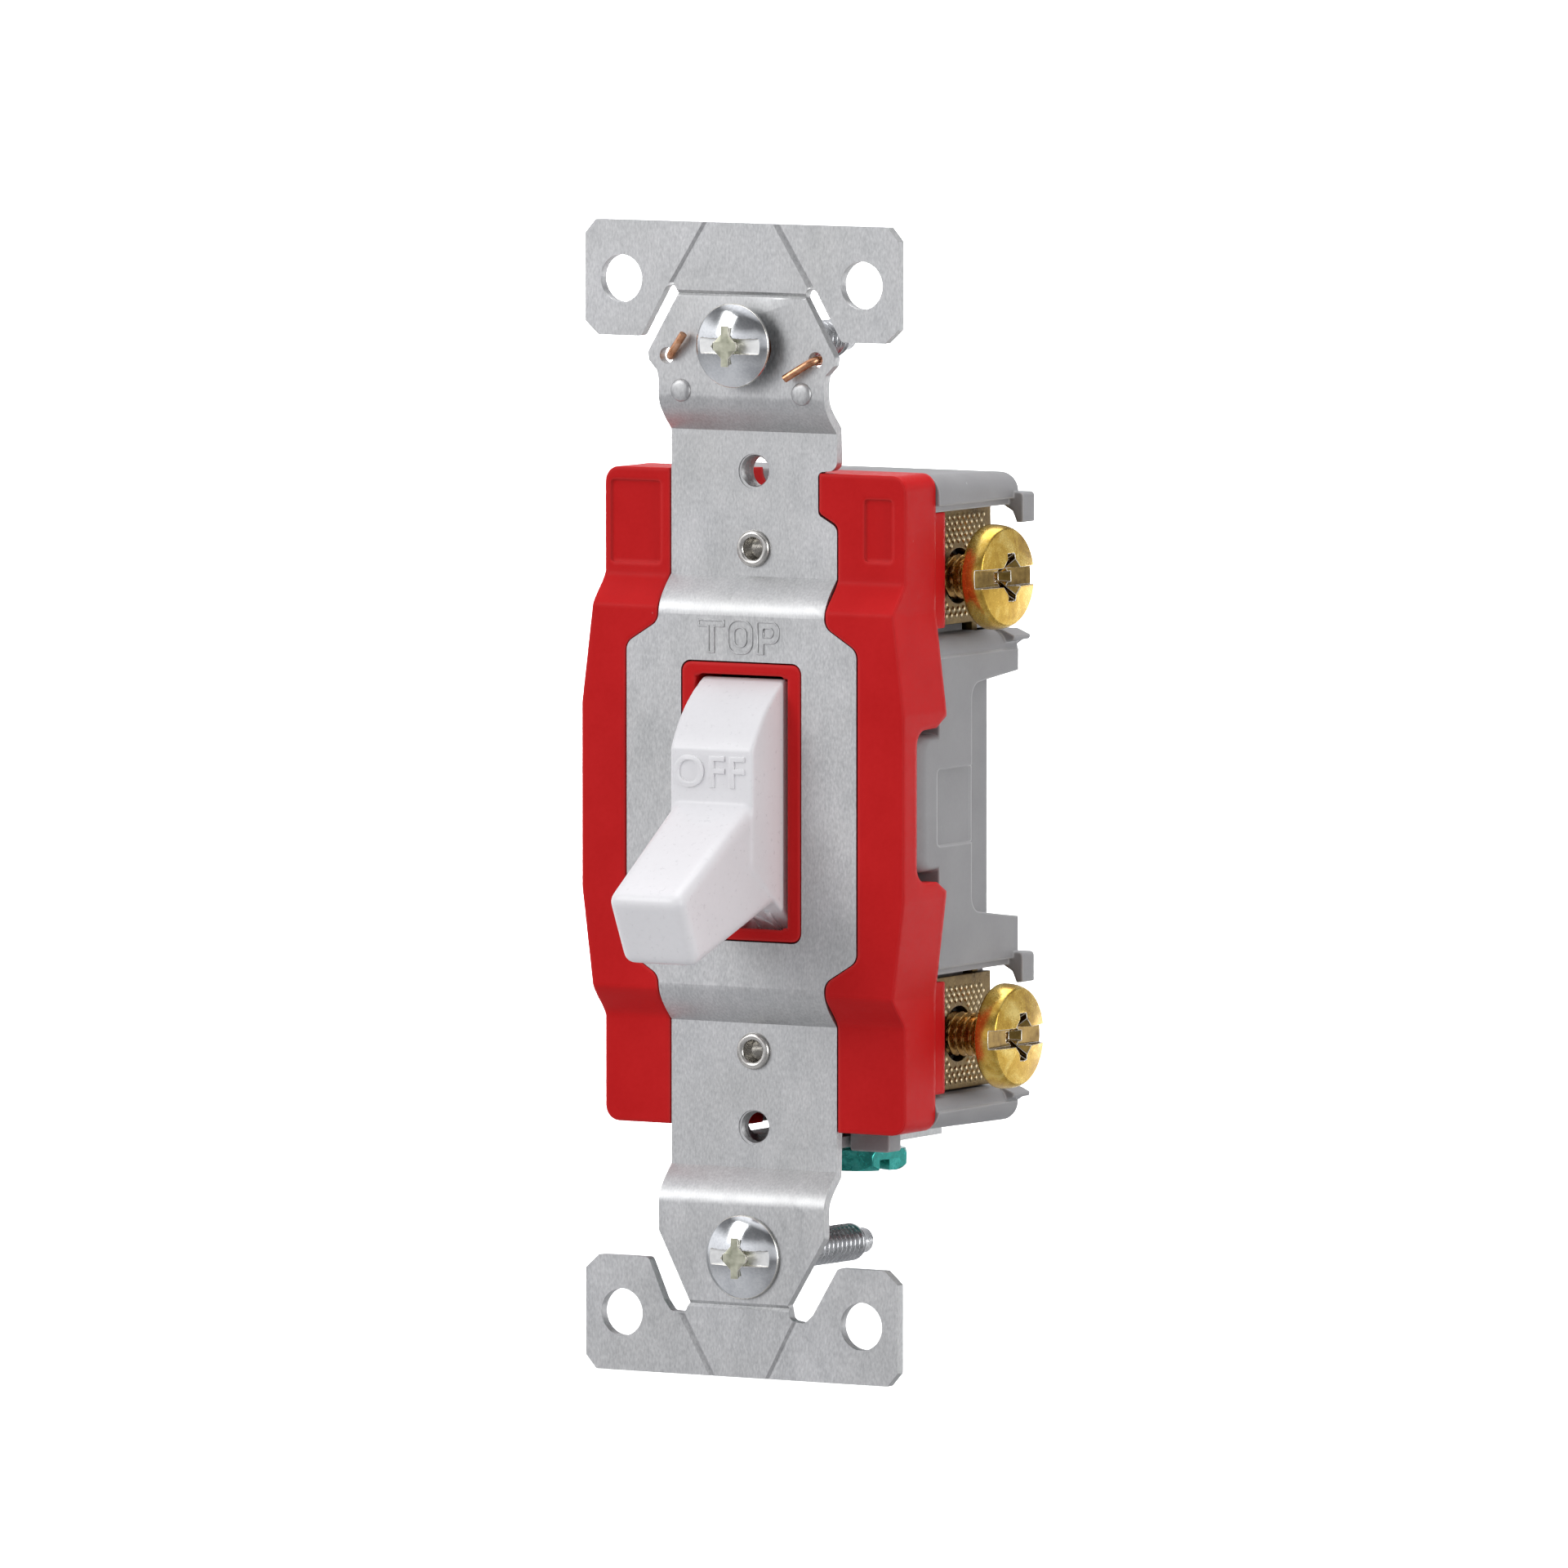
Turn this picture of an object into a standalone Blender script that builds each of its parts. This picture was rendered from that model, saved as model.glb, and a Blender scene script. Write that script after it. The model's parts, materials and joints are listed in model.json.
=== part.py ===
"""Toggle wall switch: single-pole industrial switch with a steel mounting strap,
a red front cover, a grey rear housing, screw terminals and a rocker mechanism.

Frame: +X to the right, +Y into the wall, +Z up.  The origin is the middle of the
two box-screw positions, in the plane of the back faces of the plaster ears.
Dimensions below are in millimetres and are turned into metres by MM.
"""
import math

import bmesh
import bpy
from mathutils import Matrix, Vector

MM = 0.001

# ---------------------------------------------------------------- dimensions
STRAP_T = 1.0              # strap sheet thickness
EAR_FRONT = -STRAP_T       # Y of the front face of the ears and of the middle
STEP = 2.33                # how far the screw-hole sections are set back
BEND_OUT = (37.2, 33.85)    # |Z| where the outer joggle starts and ends
BEND_IN = (20.55, 17.0)     # |Z| where the inner joggle starts and ends
STRAP_TOP = 53.0           # half the strap's length
EAR_HALF = 16.6            # half the width over the ears
NECK_HALF = 8.8            # half the width of the neck
MID_HALF = 12.2            # half the width beside the window
EAR_HOLE = (12.75, 47.63, 4.4)
BOX_SCREW_Z = 41.67        # half of the 83.34 mm box-screw spacing
PLATE_SCREW_Z = 30.16      # half of the 60.33 mm wall-plate screw spacing
RIVET_Z = 23.1
STRAP_WINDOW = (12.8, 25.7)
BEZEL_OUTER = (12.4, 25.3)
BEZEL_INNER = (9.3, 23.3)

COVER_TOP = 30.2
COVER_HALF_END = 16.05
COVER_HALF_MID = 17.2
COVER_BACK = 6.8           # Y of the cover's back edge
HOUSING_TOP = 30.0
HOUSING_FRONT = COVER_BACK + 0.3
HOUSING_BACK = 21.5
HOUSING_HALF = 16.35
CORE_HALF = 12.5

PIVOT_Y = 5.2              # toggle axis
BARREL_R = 12.65
BARREL_W = 8.8
LEVER_TIP = 24.9
LEVER_W_TIP = 7.75
REST_ANGLE = 26.0          # lever below the horizontal at rest (OFF)
ARM_TILT = 5.0             # rocker tilt at each end of the travel
PLUNGER_TIP = 9.5          # from the toggle axis to the end of the plunger

TERM_FACE_X = 14.0         # outer face of the terminal plates
TERM_T = 1.2
TERM_SCREW_Y = 14.8
TERM_UP_Z = 20.3
TERM_LO_Z = -21.9
TERM_HEAD_UP_X = 17.1      # underside of the upper screw's head
TERM_HEAD_LO_X = 18.3      # underside of the lower screw's head

GROUND_XY = (2.5, 16.3)
TAB_Z = (-32.1, -31.1)     # ground tab, lower and upper face

GAP = 0.3

# ---------------------------------------------------------------- clean start
for ob in list(bpy.data.objects):
    bpy.data.objects.remove(ob, do_unlink=True)

parts = bpy.data.collections.new("toggle_wall_switch")
cutters = bpy.data.collections.new("cutters")
bpy.context.scene.collection.children.link(parts)
bpy.context.scene.collection.children.link(cutters)


def material(name, color, rough, metal):
    m = bpy.data.materials.new(name)
    m.use_nodes = True
    b = m.node_tree.nodes["Principled BSDF"]
    b.inputs["Base Color"].default_value = (*color, 1.0)
    b.inputs["Roughness"].default_value = rough
    b.inputs["Metallic"].default_value = metal
    m.diffuse_color = (*color, 1.0)
    return m


STEEL = material("zinc_steel", (0.42, 0.44, 0.45), 0.42, 1.0)
ZINC = material("bright_zinc", (0.62, 0.64, 0.66), 0.22, 1.0)
RED = material("red_thermoset", (0.56, 0.012, 0.016), 0.38, 0.0)
GREY = material("grey_thermoset", (0.34, 0.34, 0.35), 0.5, 0.0)
WHITE = material("white_toggle", (0.86, 0.86, 0.88), 0.35, 0.0)
BRASS = material("terminal_brass", (0.56, 0.4, 0.15), 0.35, 1.0)
BRASS_SCREW = material("brass_screw", (0.64, 0.42, 0.1), 0.22, 1.0)
COPPER = material("copper_wire", (0.6, 0.3, 0.18), 0.35, 1.0)
GREEN = material("green_screw", (0.03, 0.32, 0.27), 0.3, 0.6)
SILVER = material("silver_contact", (0.75, 0.74, 0.7), 0.3, 1.0)
SPRING = material("spring_steel", (0.5, 0.5, 0.5), 0.3, 1.0)
NYLON = material("natural_nylon", (0.72, 0.7, 0.62), 0.5, 0.0)
FIBRE = material("red_fibre", (0.3, 0.1, 0.06), 0.7, 0.0)
RUBBER = material("black_elastomer", (0.03, 0.03, 0.03), 0.8, 0.0)


# ---------------------------------------------------------------- helpers
def rounded(points, seg=3):
    """Polygon whose corners (x, y, r) are replaced by arcs of radius r."""
    out = []
    n = len(points)
    for i, p in enumerate(points):
        r = p[2] if len(p) > 2 else 0.0
        c = Vector(p[:2])
        if r <= 0:
            out.append(c)
            continue
        a = (Vector(points[i - 1][:2]) - c).normalized()
        b = (Vector(points[(i + 1) % n][:2]) - c).normalized()
        half = a.angle(b) / 2
        d = r / math.tan(half)
        mid = c + (a + b).normalized() * (r / math.sin(half))
        s = (c + a * d) - mid
        e = (c + b * d) - mid
        turn = s.angle_signed(e)
        for k in range(seg + 1):
            t = -turn * k / seg
            v = Matrix.Rotation(t, 2) @ s
            out.append(mid + v)
    return [(v.x, v.y) for v in out]


def circle(cx, cy, d, n=16):
    return [
        (cx + d / 2 * math.cos(2 * math.pi * k / n), cy + d / 2 * math.sin(2 * math.pi * k / n))
        for k in range(n)
    ]


def rect(w, h, r=0.0, cx=0.0, cy=0.0, seg=3):
    x, y = w / 2, h / 2
    pts = [(cx - x, cy - y, r), (cx + x, cy - y, r), (cx + x, cy + y, r), (cx - x, cy + y, r)]
    return rounded(pts, seg) if r else [(p[0], p[1]) for p in pts]


def span(x0, x1, y0, y1, r=0.0, seg=3):
    return rect(x1 - x0, y1 - y0, r, (x0 + x1) / 2, (y0 + y1) / 2, seg)


def link(ob, mat=None, cutter=False):
    (cutters if cutter else parts).objects.link(ob)
    if cutter:
        ob.hide_render = True
        ob.display_type = "WIRE"
    if mat is not None and ob.data is not None:
        ob.data.materials.clear()
        ob.data.materials.append(mat)
    return ob


def outline_mesh(name, loops, depth=0.0):
    """Mesh of a filled 2D curve in its own XY plane, extruded to +-depth/2."""
    cu = bpy.data.curves.new(name, "CURVE")
    cu.dimensions = "2D"
    cu.fill_mode = "BOTH"
    cu.extrude = depth * MM / 2
    for pts in loops:
        sp = cu.splines.new("POLY")
        sp.points.add(len(pts) - 1)
        for p, v in zip(sp.points, pts):
            p.co = (v[0] * MM, v[1] * MM, 0, 1)
        sp.use_cyclic_u = True
    ob = bpy.data.objects.new(name + "_curve", cu)
    cutters.objects.link(ob)
    dg = bpy.context.evaluated_depsgraph_get()
    me = bpy.data.meshes.new_from_object(ob.evaluated_get(dg))
    bpy.data.objects.remove(ob, do_unlink=True)
    me.name = name
    bm = bmesh.new()
    bm.from_mesh(me)
    bmesh.ops.remove_doubles(bm, verts=bm.verts, dist=1e-7)
    if depth:
        bmesh.ops.recalc_face_normals(bm, faces=bm.faces)
    bm.to_mesh(me)
    bm.free()
    return me


FACING = {
    # own XY plane -> world plane, own +Z -> world direction
    "Y": Matrix(((1, 0, 0), (0, 0, -1), (0, 1, 0))),   # XZ outline, +Z own = -Y
    "X": Matrix(((0, 0, 1), (1, 0, 0), (0, 1, 0))),    # YZ outline, +Z own = +X
    "Z": Matrix(((1, 0, 0), (0, 1, 0), (0, 0, 1))),    # XY outline
}


def prism(name, loops, axis, lo, hi, mat=None, cutter=False, parent=None):
    """Outline loops extruded from lo to hi along a world axis."""
    me = outline_mesh(name, loops, hi - lo)
    ob = bpy.data.objects.new(name, me)
    ob.rotation_euler = FACING[axis].to_euler()
    at = {"X": 0, "Y": 1, "Z": 2}[axis]
    loc = [0, 0, 0]
    loc[at] = (lo + hi) / 2 * MM
    ob.location = loc
    link(ob, mat, cutter)
    if parent:
        ob.parent = parent
    return ob


def relief(name, loops, cuts, front, back, mat=None, cutter=False):
    """Solid over an XZ outline whose front and back are Y functions of Z."""
    me = outline_mesh(name, loops)
    bm = bmesh.new()
    bm.from_mesh(me)
    for z in cuts:
        bmesh.ops.bisect_plane(
            bm, geom=bm.verts[:] + bm.edges[:] + bm.faces[:], dist=1e-7,
            plane_co=(0, z * MM, 0), plane_no=(0, 1, 0))
    base = list(bm.verts)
    ext = bmesh.ops.extrude_face_region(bm, geom=bm.faces[:])
    top = [g for g in ext["geom"] if isinstance(g, bmesh.types.BMVert)]
    for v in base:
        v.co.z = -front(v.co.y / MM) * MM
    for v in top:
        v.co.z = -back(v.co.y / MM) * MM
    bmesh.ops.recalc_face_normals(bm, faces=bm.faces)
    bm.to_mesh(me)
    bm.free()
    ob = bpy.data.objects.new(name, me)
    ob.rotation_euler = FACING["Y"].to_euler()
    link(ob, mat, cutter)
    return ob


def box(name, lo, hi, mat=None, cutter=False, parent=None):
    me = bpy.data.meshes.new(name)
    bm = bmesh.new()
    bmesh.ops.create_cube(bm, size=1.0)
    for v in bm.verts:
        v.co = Vector([(hi[i] - lo[i]) * v.co[i] * MM for i in range(3)])
    bm.to_mesh(me)
    bm.free()
    ob = bpy.data.objects.new(name, me)
    ob.location = [(hi[i] + lo[i]) / 2 * MM for i in range(3)]
    link(ob, mat, cutter)
    if parent:
        ob.parent = parent
    return ob


def rod(name, d, a, b, mat=None, cutter=False, n=16, d2=None, parent=None):
    """Cylinder or cone from point a to point b."""
    a, b = Vector(a) * MM, Vector(b) * MM
    me = bpy.data.meshes.new(name)
    bm = bmesh.new()
    bmesh.ops.create_cone(
        bm, cap_ends=True, segments=n, radius1=d * MM / 2,
        radius2=(d if d2 is None else d2) * MM / 2, depth=(b - a).length)
    bm.to_mesh(me)
    bm.free()
    ob = bpy.data.objects.new(name, me)
    ob.location = (a + b) / 2
    ob.rotation_euler = (b - a).to_track_quat("Z", "Y").to_euler()
    link(ob, mat, cutter)
    if parent:
        ob.parent = parent
    return ob


def boolean(ob, other, op="DIFFERENCE"):
    m = ob.modifiers.new(op.lower(), "BOOLEAN")
    m.object = other
    m.operation = op
    m.solver = "EXACT"
    return m


def smooth(ob, angle=35):
    me = ob.data
    me.shade_smooth()
    me.set_sharp_from_angle(angle=math.radians(angle))


def turned(name, profile, mat, steps=24, location=(0, 0, 0), direction=(0, 0, 1), parent=None):
    """Profile (radius, height) from the top of the axis down to the bottom, turned
    about the axis; height runs along the given direction."""
    me = bpy.data.meshes.new(name)
    bm = bmesh.new()
    vs = [bm.verts.new((r * MM, 0, h * MM)) for r, h in profile]
    for a, b in zip(vs, vs[1:]):
        bm.edges.new((a, b))
    bm.to_mesh(me)
    bm.free()
    ob = bpy.data.objects.new(name, me)
    m = ob.modifiers.new("turn", "SCREW")
    m.axis = "Z"
    m.angle = 2 * math.pi
    m.steps = steps
    m.render_steps = steps
    m.use_merge_vertices = True
    m.merge_threshold = 1e-6
    m.use_smooth_shade = True
    ob.location = Vector(location) * MM
    ob.rotation_euler = Vector(direction).to_track_quat("Z", "Y").to_euler()
    link(ob, mat)
    if parent:
        ob.parent = parent
    return ob


def wire(name, points, d, mat, resolution=2):
    cu = bpy.data.curves.new(name, "CURVE")
    cu.dimensions = "3D"
    cu.bevel_depth = d * MM / 2
    cu.bevel_resolution = resolution
    cu.use_fill_caps = True
    sp = cu.splines.new("POLY")
    sp.points.add(len(points) - 1)
    for p, v in zip(sp.points, points):
        p.co = (v[0] * MM, v[1] * MM, v[2] * MM, 1)
    ob = bpy.data.objects.new(name, cu)
    link(ob, mat)
    return ob


# ---------------------------------------------------------------- strap shape
def joggle(t):
    """Soft crest at 0, crisp foot at 1."""
    return 1 - math.cos(math.pi / 2 * min(max(t, 0.0), 1.0))


def strap_front(z):
    a = abs(z)
    if a > BEND_OUT[1]:
        s = joggle((BEND_OUT[0] - a) / (BEND_OUT[0] - BEND_OUT[1]))
    elif a > BEND_IN[0]:
        s = 1.0
    else:
        s = joggle((a - BEND_IN[1]) / (BEND_IN[0] - BEND_IN[1]))
    return EAR_FRONT + STEP * s


def strap_back(z):
    """Back of the sheet, measured along Y, which is thicker where it slopes."""
    slope = (strap_front(z + 0.02) - strap_front(z - 0.02)) / 0.04
    return strap_front(z) + STRAP_T * math.sqrt(1 + slope * slope)


def cover_front(z):
    a = abs(z)
    s = min(max((a - 17.6) / (20.45 - 17.6), 0.0), 1.0)
    return EAR_FRONT + (STEP - 0.03) * s


def bend_cuts(n=5):
    zs = []
    for a, b in (BEND_OUT, BEND_IN):
        for k in range(n + 1):
            zs.append(b + (a - b) * k / n)
    return sorted(zs + [-z for z in zs])


def strap_side(sign, grow=0.0):
    """Right-hand (sign +1) or left-hand outline of the strap, top to bottom."""
    g = grow
    up = [
        (15.5, 53.0, 0), (EAR_HALF, 51.75, 0), (EAR_HALF, 43.65, 0), (15.2, 42.4, 0),
        (10.65, 42.4, 0.4), (7.98, 47.0, 0.4), (7.0, 47.3, 0.4), (6.75, 46.4, 0.4),
        (9.9, 41.0, 0.5), (9.8, 40.2, 0.3), (NECK_HALF + 0.15 + g, 39.3, 0.4), (NECK_HALF + g, 38.6, 0),
    ]
    if sign > 0:
        up += [(NECK_HALF + g, 30.5 - g, 0.9), (6.8 + g, 30.3 - g, 0.5), (6.8 + g, 26.4 + g, 0.6),
               (NECK_HALF + g, 25.3 + g, 0.9)]
    mid = [
        (NECK_HALF + g, 16.3, 1.3), (MID_HALF + g, 14.2, 1.2),
        (MID_HALF + g, -14.2, 1.2), (NECK_HALF + g, -16.3, 1.3),
    ]
    low = [
        (NECK_HALF + g, -39.8, 0.8), (5.5, -46.2, 0.4), (6.2, -47.3, 0.4), (7.3, -46.8, 0.4),
        (9.9, -42.4, 0.4), (15.2, -42.4, 0), (EAR_HALF, -43.65, 0),
        (EAR_HALF, -51.75, 0), (15.5, -53.0, 0),
    ]
    if sign > 0:
        low[1:5] = [(5.75, -46.2, 0.4), (6.75, -47.6, 0.4), (7.6, -46.9, 0.4),
                    (10.3, -42.4, 0.4)]
    return [(sign * x, z, r) for x, z, r in up + mid + low]


def strap_loops(seg=2, n=16):
    pts = strap_side(1) + strap_side(-1)[::-1]
    loops = [rounded(pts, seg), rect(*STRAP_WINDOW, 1.0, seg=seg)]
    ex, ez, ed = EAR_HOLE
    for sx in (-1, 1):
        for sz in (-1, 1):
            loops.append(circle(sx * ex, sz * ez, ed, n))
    for sz in (-1, 1):
        loops.append(circle(0, sz * PLATE_SCREW_Z, 3.3, 14))
        loops.append(circle(0, sz * RIVET_Z, 3.0, 12))
        loops.append(rect(6.4, 4.2, 2.05, 0, sz * BOX_SCREW_Z, seg=4))
    for sx in (-1, 1):
        loops.append(circle(sx * 7.9, 40.7, 1.5, 8))
    return loops


# ---------------------------------------------------------------- mounting strap
me = outline_mesh("mounting_strap", strap_loops())
bm = bmesh.new()
bm.from_mesh(me)
for z in bend_cuts():
    bmesh.ops.bisect_plane(
        bm, geom=bm.verts[:] + bm.edges[:] + bm.faces[:], dist=1e-7,
        plane_co=(0, z * MM, 0), plane_no=(0, 1, 0))
for v in bm.verts:
    v.co.z = -strap_front(v.co.y / MM) * MM
bmesh.ops.recalc_face_normals(bm, faces=bm.faces)
if sum(f.normal.z for f in bm.faces) < 0:
    bmesh.ops.reverse_faces(bm, faces=bm.faces)
bm.to_mesh(me)
bm.free()
strap = bpy.data.objects.new("mounting_strap", me)
strap.rotation_euler = FACING["Y"].to_euler()
link(strap, STEEL)
m = strap.modifiers.new("sheet", "SOLIDIFY")
m.thickness = STRAP_T * MM
m.offset = -1.0
m.use_even_offset = True
smooth(strap)

# ---------------------------------------------------------------- front cover
COVER_SIDE = [(COVER_HALF_END, COVER_TOP, 1.2), (COVER_HALF_END, 17.65, 0),
              (COVER_HALF_MID, 8.5, 0), (COVER_HALF_MID, -8.5, 0),
              (COVER_HALF_END, -17.65, 0), (COVER_HALF_END, -COVER_TOP, 1.2)]
cover_loop = rounded(COVER_SIDE + [(-x, z, r) for x, z, r in COVER_SIDE[::-1]], 2)
COVER_CUTS = [-20.4, -17.65, 17.65, 20.4]
cover = relief("front_cover", [cover_loop, rect(*BEZEL_INNER, 0.4, seg=1)], COVER_CUTS,
               cover_front, lambda z: COVER_BACK, RED)

# channel that the strap lies in, with the bezel ring left standing
chan = strap_side(1, 0.22)
chan = [p for p in chan if abs(p[1]) <= 38.3 and abs(p[0]) < 13]
chan = [(chan[0][0], 33.0, 0)] + chan[1:] + [(chan[-1][0], -33.0, 0)]
chan_l = [(-p[0], p[1], p[2]) for p in chan if not (24.8 < p[1] < 31)][::-1]
channel = relief("channel_cutter",
                 [rounded(chan + chan_l, 2), rect(*BEZEL_OUTER, 0.8, seg=2)],
                 [z for z in bend_cuts() if abs(z) < 33],
                 lambda z: EAR_FRONT - 2.0,
                 lambda z: strap_back(z) + 0.55, cutter=True)
boolean(cover, channel)
# hollow behind the front wall
boolean(cover, prism("cover_hollow_cutter", [rect(28.6, 36.4, 1.5, seg=2)], "Y", 4.0, 9.0,
                     cutter=True))
# room for the barrel behind the bezel, and for the trunnions
boolean(cover, rod("barrel_clearance", 2 * BARREL_R + 0.6, (-4.95, PIVOT_Y, 0),
                   (4.95, PIVOT_Y, 0), cutter=True, n=48))
boolean(cover, box("trunnion_clearance", (-8.7, 2.85, -2.5), (8.7, 5.0, 2.5), cutter=True))
for name, sz in (("upper", 1), ("lower", -1)):
    boolean(cover, rod("rivet_clear_" + name, 3.1, (0, -3, sz * RIVET_Z), (0, 9, sz * RIVET_Z),
                       cutter=True, n=12))
    boolean(cover, prism("plate_screw_notch_" + name,
                         [rounded([(-2.2, sz * 28.2, 0.8), (2.2, sz * 28.2, 0.8),
                                   (2.2, sz * 32, 0), (-2.2, sz * 32, 0)], 3)],
                         "Y", -3.0, 9.0, cutter=True))
# notches in the back edge that take the housing's side tabs
for name, sx in (("right", 1), ("left", -1)):
    notch = rounded([(1.4, -6.9, 1.4), (5.0, -7.0, 0.6), (7.3, -8.3, 0), (7.3, 8.3, 0),
                     (5.0, 7.0, 0.6), (1.4, 6.9, 1.4)], 2)
    boolean(cover, prism("side_notch_" + name, [notch], "X",
                         *((14.2, 18.5) if sx > 0 else (-18.5, -14.2)), cutter=True))
# recess for the ground bracket's leg behind the strap
boolean(cover, box("ground_leg_recess", (-4.3, 2.5, -33.0), (4.3, 4.3, -19.2), cutter=True))
# lips in front of the terminals
for name, z0, z1 in (("upper", 15.9, 26.5), ("lower", -26.9, -16.6)):
    lip = box("terminal_lip_" + name, (14.6, 5.8, z0), (15.6, 9.3, z1), cutter=True)
    boolean(cover, lip, "UNION")

# ---------------------------------------------------------------- rear housing
hz = HOUSING_TOP
house_loop = rounded([(HOUSING_HALF, hz, 0.6), (HOUSING_HALF, -hz, 0.6),
                      (-HOUSING_HALF, -hz, 0.6), (-HOUSING_HALF, hz, 0.6)], 2)
housing = prism("rear_housing", [house_loop], "Y", HOUSING_FRONT, HOUSING_BACK, GREY)
# side tabs that close the cover's notches
for name, sx in (("right", 1), ("left", -1)):
    tab = rounded([(3.0, -6.1, 1.4), (9.0, -6.1, 0), (9.0, 6.1, 0), (3.0, 6.1, 1.4)], 2)
    t = prism("side_tab_" + name, [tab], "X",
              *((14.7, HOUSING_HALF - 0.02) if sx > 0 else (-HOUSING_HALF + 0.02, -14.7)), cutter=True)
    boolean(housing, t, "UNION")
# mechanism chamber, open at the front
boolean(housing, prism("chamber_cutter", [rect(21.0, 34.0, 1.0, seg=1)], "Y", 5.0, 19.6,
                       cutter=True))
# terminal recesses on the right, open to the side and the back
for name, z0, z1 in (("upper", 15.1, 27.0), ("lower", -27.3, -16.1)):
    boolean(housing, box("terminal_recess_" + name, (CORE_HALF, 6.0, z0), (19.0, 23.0, z1),
                         cutter=True))
# set-back middle of both sides
for name, sx in (("right", 1), ("left", -1)):
    back = rounded([(13.1, -10.2, 1.0), (13.1, 10.2, 1.0), (22.0, 11.6, 0), (22.0, -11.6, 0)], 2)
    boolean(housing, prism("side_setback_" + name, [back], "X",
                           *((12.9, 18.5) if sx > 0 else (-18.5, -12.9)), cutter=True))
    boolean(housing, prism("side_panel_" + name, [span(6.55, 14.0, -4.0, 3.1, 0.5, 1)], "X",
                           *((16.05, 18.5) if sx > 0 else (-18.5, -16.05)), cutter=True))
# pockets for the terminal screws
for name, z in (("upper", TERM_UP_Z), ("lower", TERM_LO_Z)):
    boolean(housing, rod("terminal_pocket_" + name, 4.9, (5.0, TERM_SCREW_Y, z),
                         (14.0, TERM_SCREW_Y, z), cutter=True, n=14))
# rivet holes with seats for the rivet heads, and the wall-plate screw notches
for name, sz in (("upper", 1), ("lower", -1)):
    boolean(housing, rod("rivet_hole_" + name, 3.1, (0, 5, sz * RIVET_Z), (0, 23, sz * RIVET_Z),
                         cutter=True, n=12))
    boolean(housing, rod("rivet_seat_" + name, 6.0, (0, 19.8, sz * RIVET_Z),
                         (0, 23, sz * RIVET_Z), cutter=True, n=16))
    boolean(housing, prism("housing_notch_" + name,
                           [rounded([(-2.2, sz * 28.2, 0.8), (2.2, sz * 28.2, 0.8),
                                     (2.2, sz * 32, 0), (-2.2, sz * 32, 0)], 3)],
                           "Y", 5.0, 12.0, cutter=True))
# pocket for the ground screw's tip
boolean(housing, rod("ground_pocket", 5.0, (GROUND_XY[0], GROUND_XY[1], -33),
                     (GROUND_XY[0], GROUND_XY[1], -25.9), cutter=True, n=14))
# slots through the chamber wall for the inner ends of the terminal plates
boolean(housing, box("tongue_slot_upper", (9.5, 17.75, 13.2), (14.0, 19.6, 17.6), cutter=True))
boolean(housing, box("tongue_slot_lower", (9.5, 17.95, -18.3), (14.0, 19.8, -13.5), cutter=True))
# bearing posts for the toggle's trunnions
for name, sx in (("right", 1), ("left", -1)):
    xs = (4.9, 8.6) if sx > 0 else (-8.6, -4.9)
    post = rounded([(5.0, -3.9, 0), (20.5, -4.6, 0), (20.5, 4.6, 0), (5.0, 3.9, 0)], 1)
    boolean(housing, prism("bearing_post_" + name, [post], "X", *xs, cutter=True), "UNION")
    saddle = [(3.0, -2.35), (3.0, 2.35), (PIVOT_Y, 2.35)]
    saddle += [(PIVOT_Y + 2.35 * math.sin(math.pi * k / 8),
                2.35 * math.cos(math.pi * k / 8)) for k in range(1, 8)]
    saddle += [(PIVOT_Y, -2.35)]
    boolean(housing, prism("bearing_saddle_" + name, [saddle], "X",
                           *((4.5, 9.0) if sx > 0 else (-9.0, -4.5)), cutter=True))
# block under the housing that steadies the ground tab
boolean(housing, box("ground_block", (7.0, HOUSING_FRONT, -32.4), (11.1, 9.0, -29.0),
                     cutter=True), "UNION")

# wire guides at the upper end of each terminal, ledges at the lower end
for name, z0 in (("upper", 26.7), ("lower", -16.5)):
    guide = rounded([(20.4, z0, 0), (22.2, z0, 0.4), (22.2, z0 + 2.0, 0.4), (20.4, z0 + 2.0, 0)], 2)
    g = prism("wire_guide_" + name, [guide], "X", 15.0, 17.6, cutter=True)
    boolean(housing, g, "UNION")

# ---------------------------------------------------------------- toggle lever
pivot = bpy.data.objects.new("toggle_pivot", None)
pivot.location = (0, PIVOT_Y * MM, 0)
pivot.rotation_euler = (math.radians(REST_ANGLE), 0, 0)
parts.objects.link(pivot)


def toggle_outline(n=20):
    """Barrel in the lever's own YZ plane: a half disc with two flat facets."""
    pts = []
    facet = 11.55
    half = math.acos(facet / BARREL_R)
    for k in range(n + 1):
        a = -math.pi / 2 + math.pi * k / n
        pts.append(a)
    rest = math.radians(REST_ANGLE)
    keep = [a for a in pts if not (rest - half < abs(a) < rest + half)]
    keep += [s * (rest + e * half) for s in (-1, 1) for e in (-1, 1)]
    keep = sorted(keep)
    return [(-BARREL_R * math.cos(a), BARREL_R * math.sin(a)) for a in keep]


toggle = prism("toggle_lever", [toggle_outline() + [(2.0, BARREL_R - 1.5), (2.0, -BARREL_R + 1.5)]],
               "X", -BARREL_W / 2, BARREL_W / 2, WHITE)
toggle.parent = pivot
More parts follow.
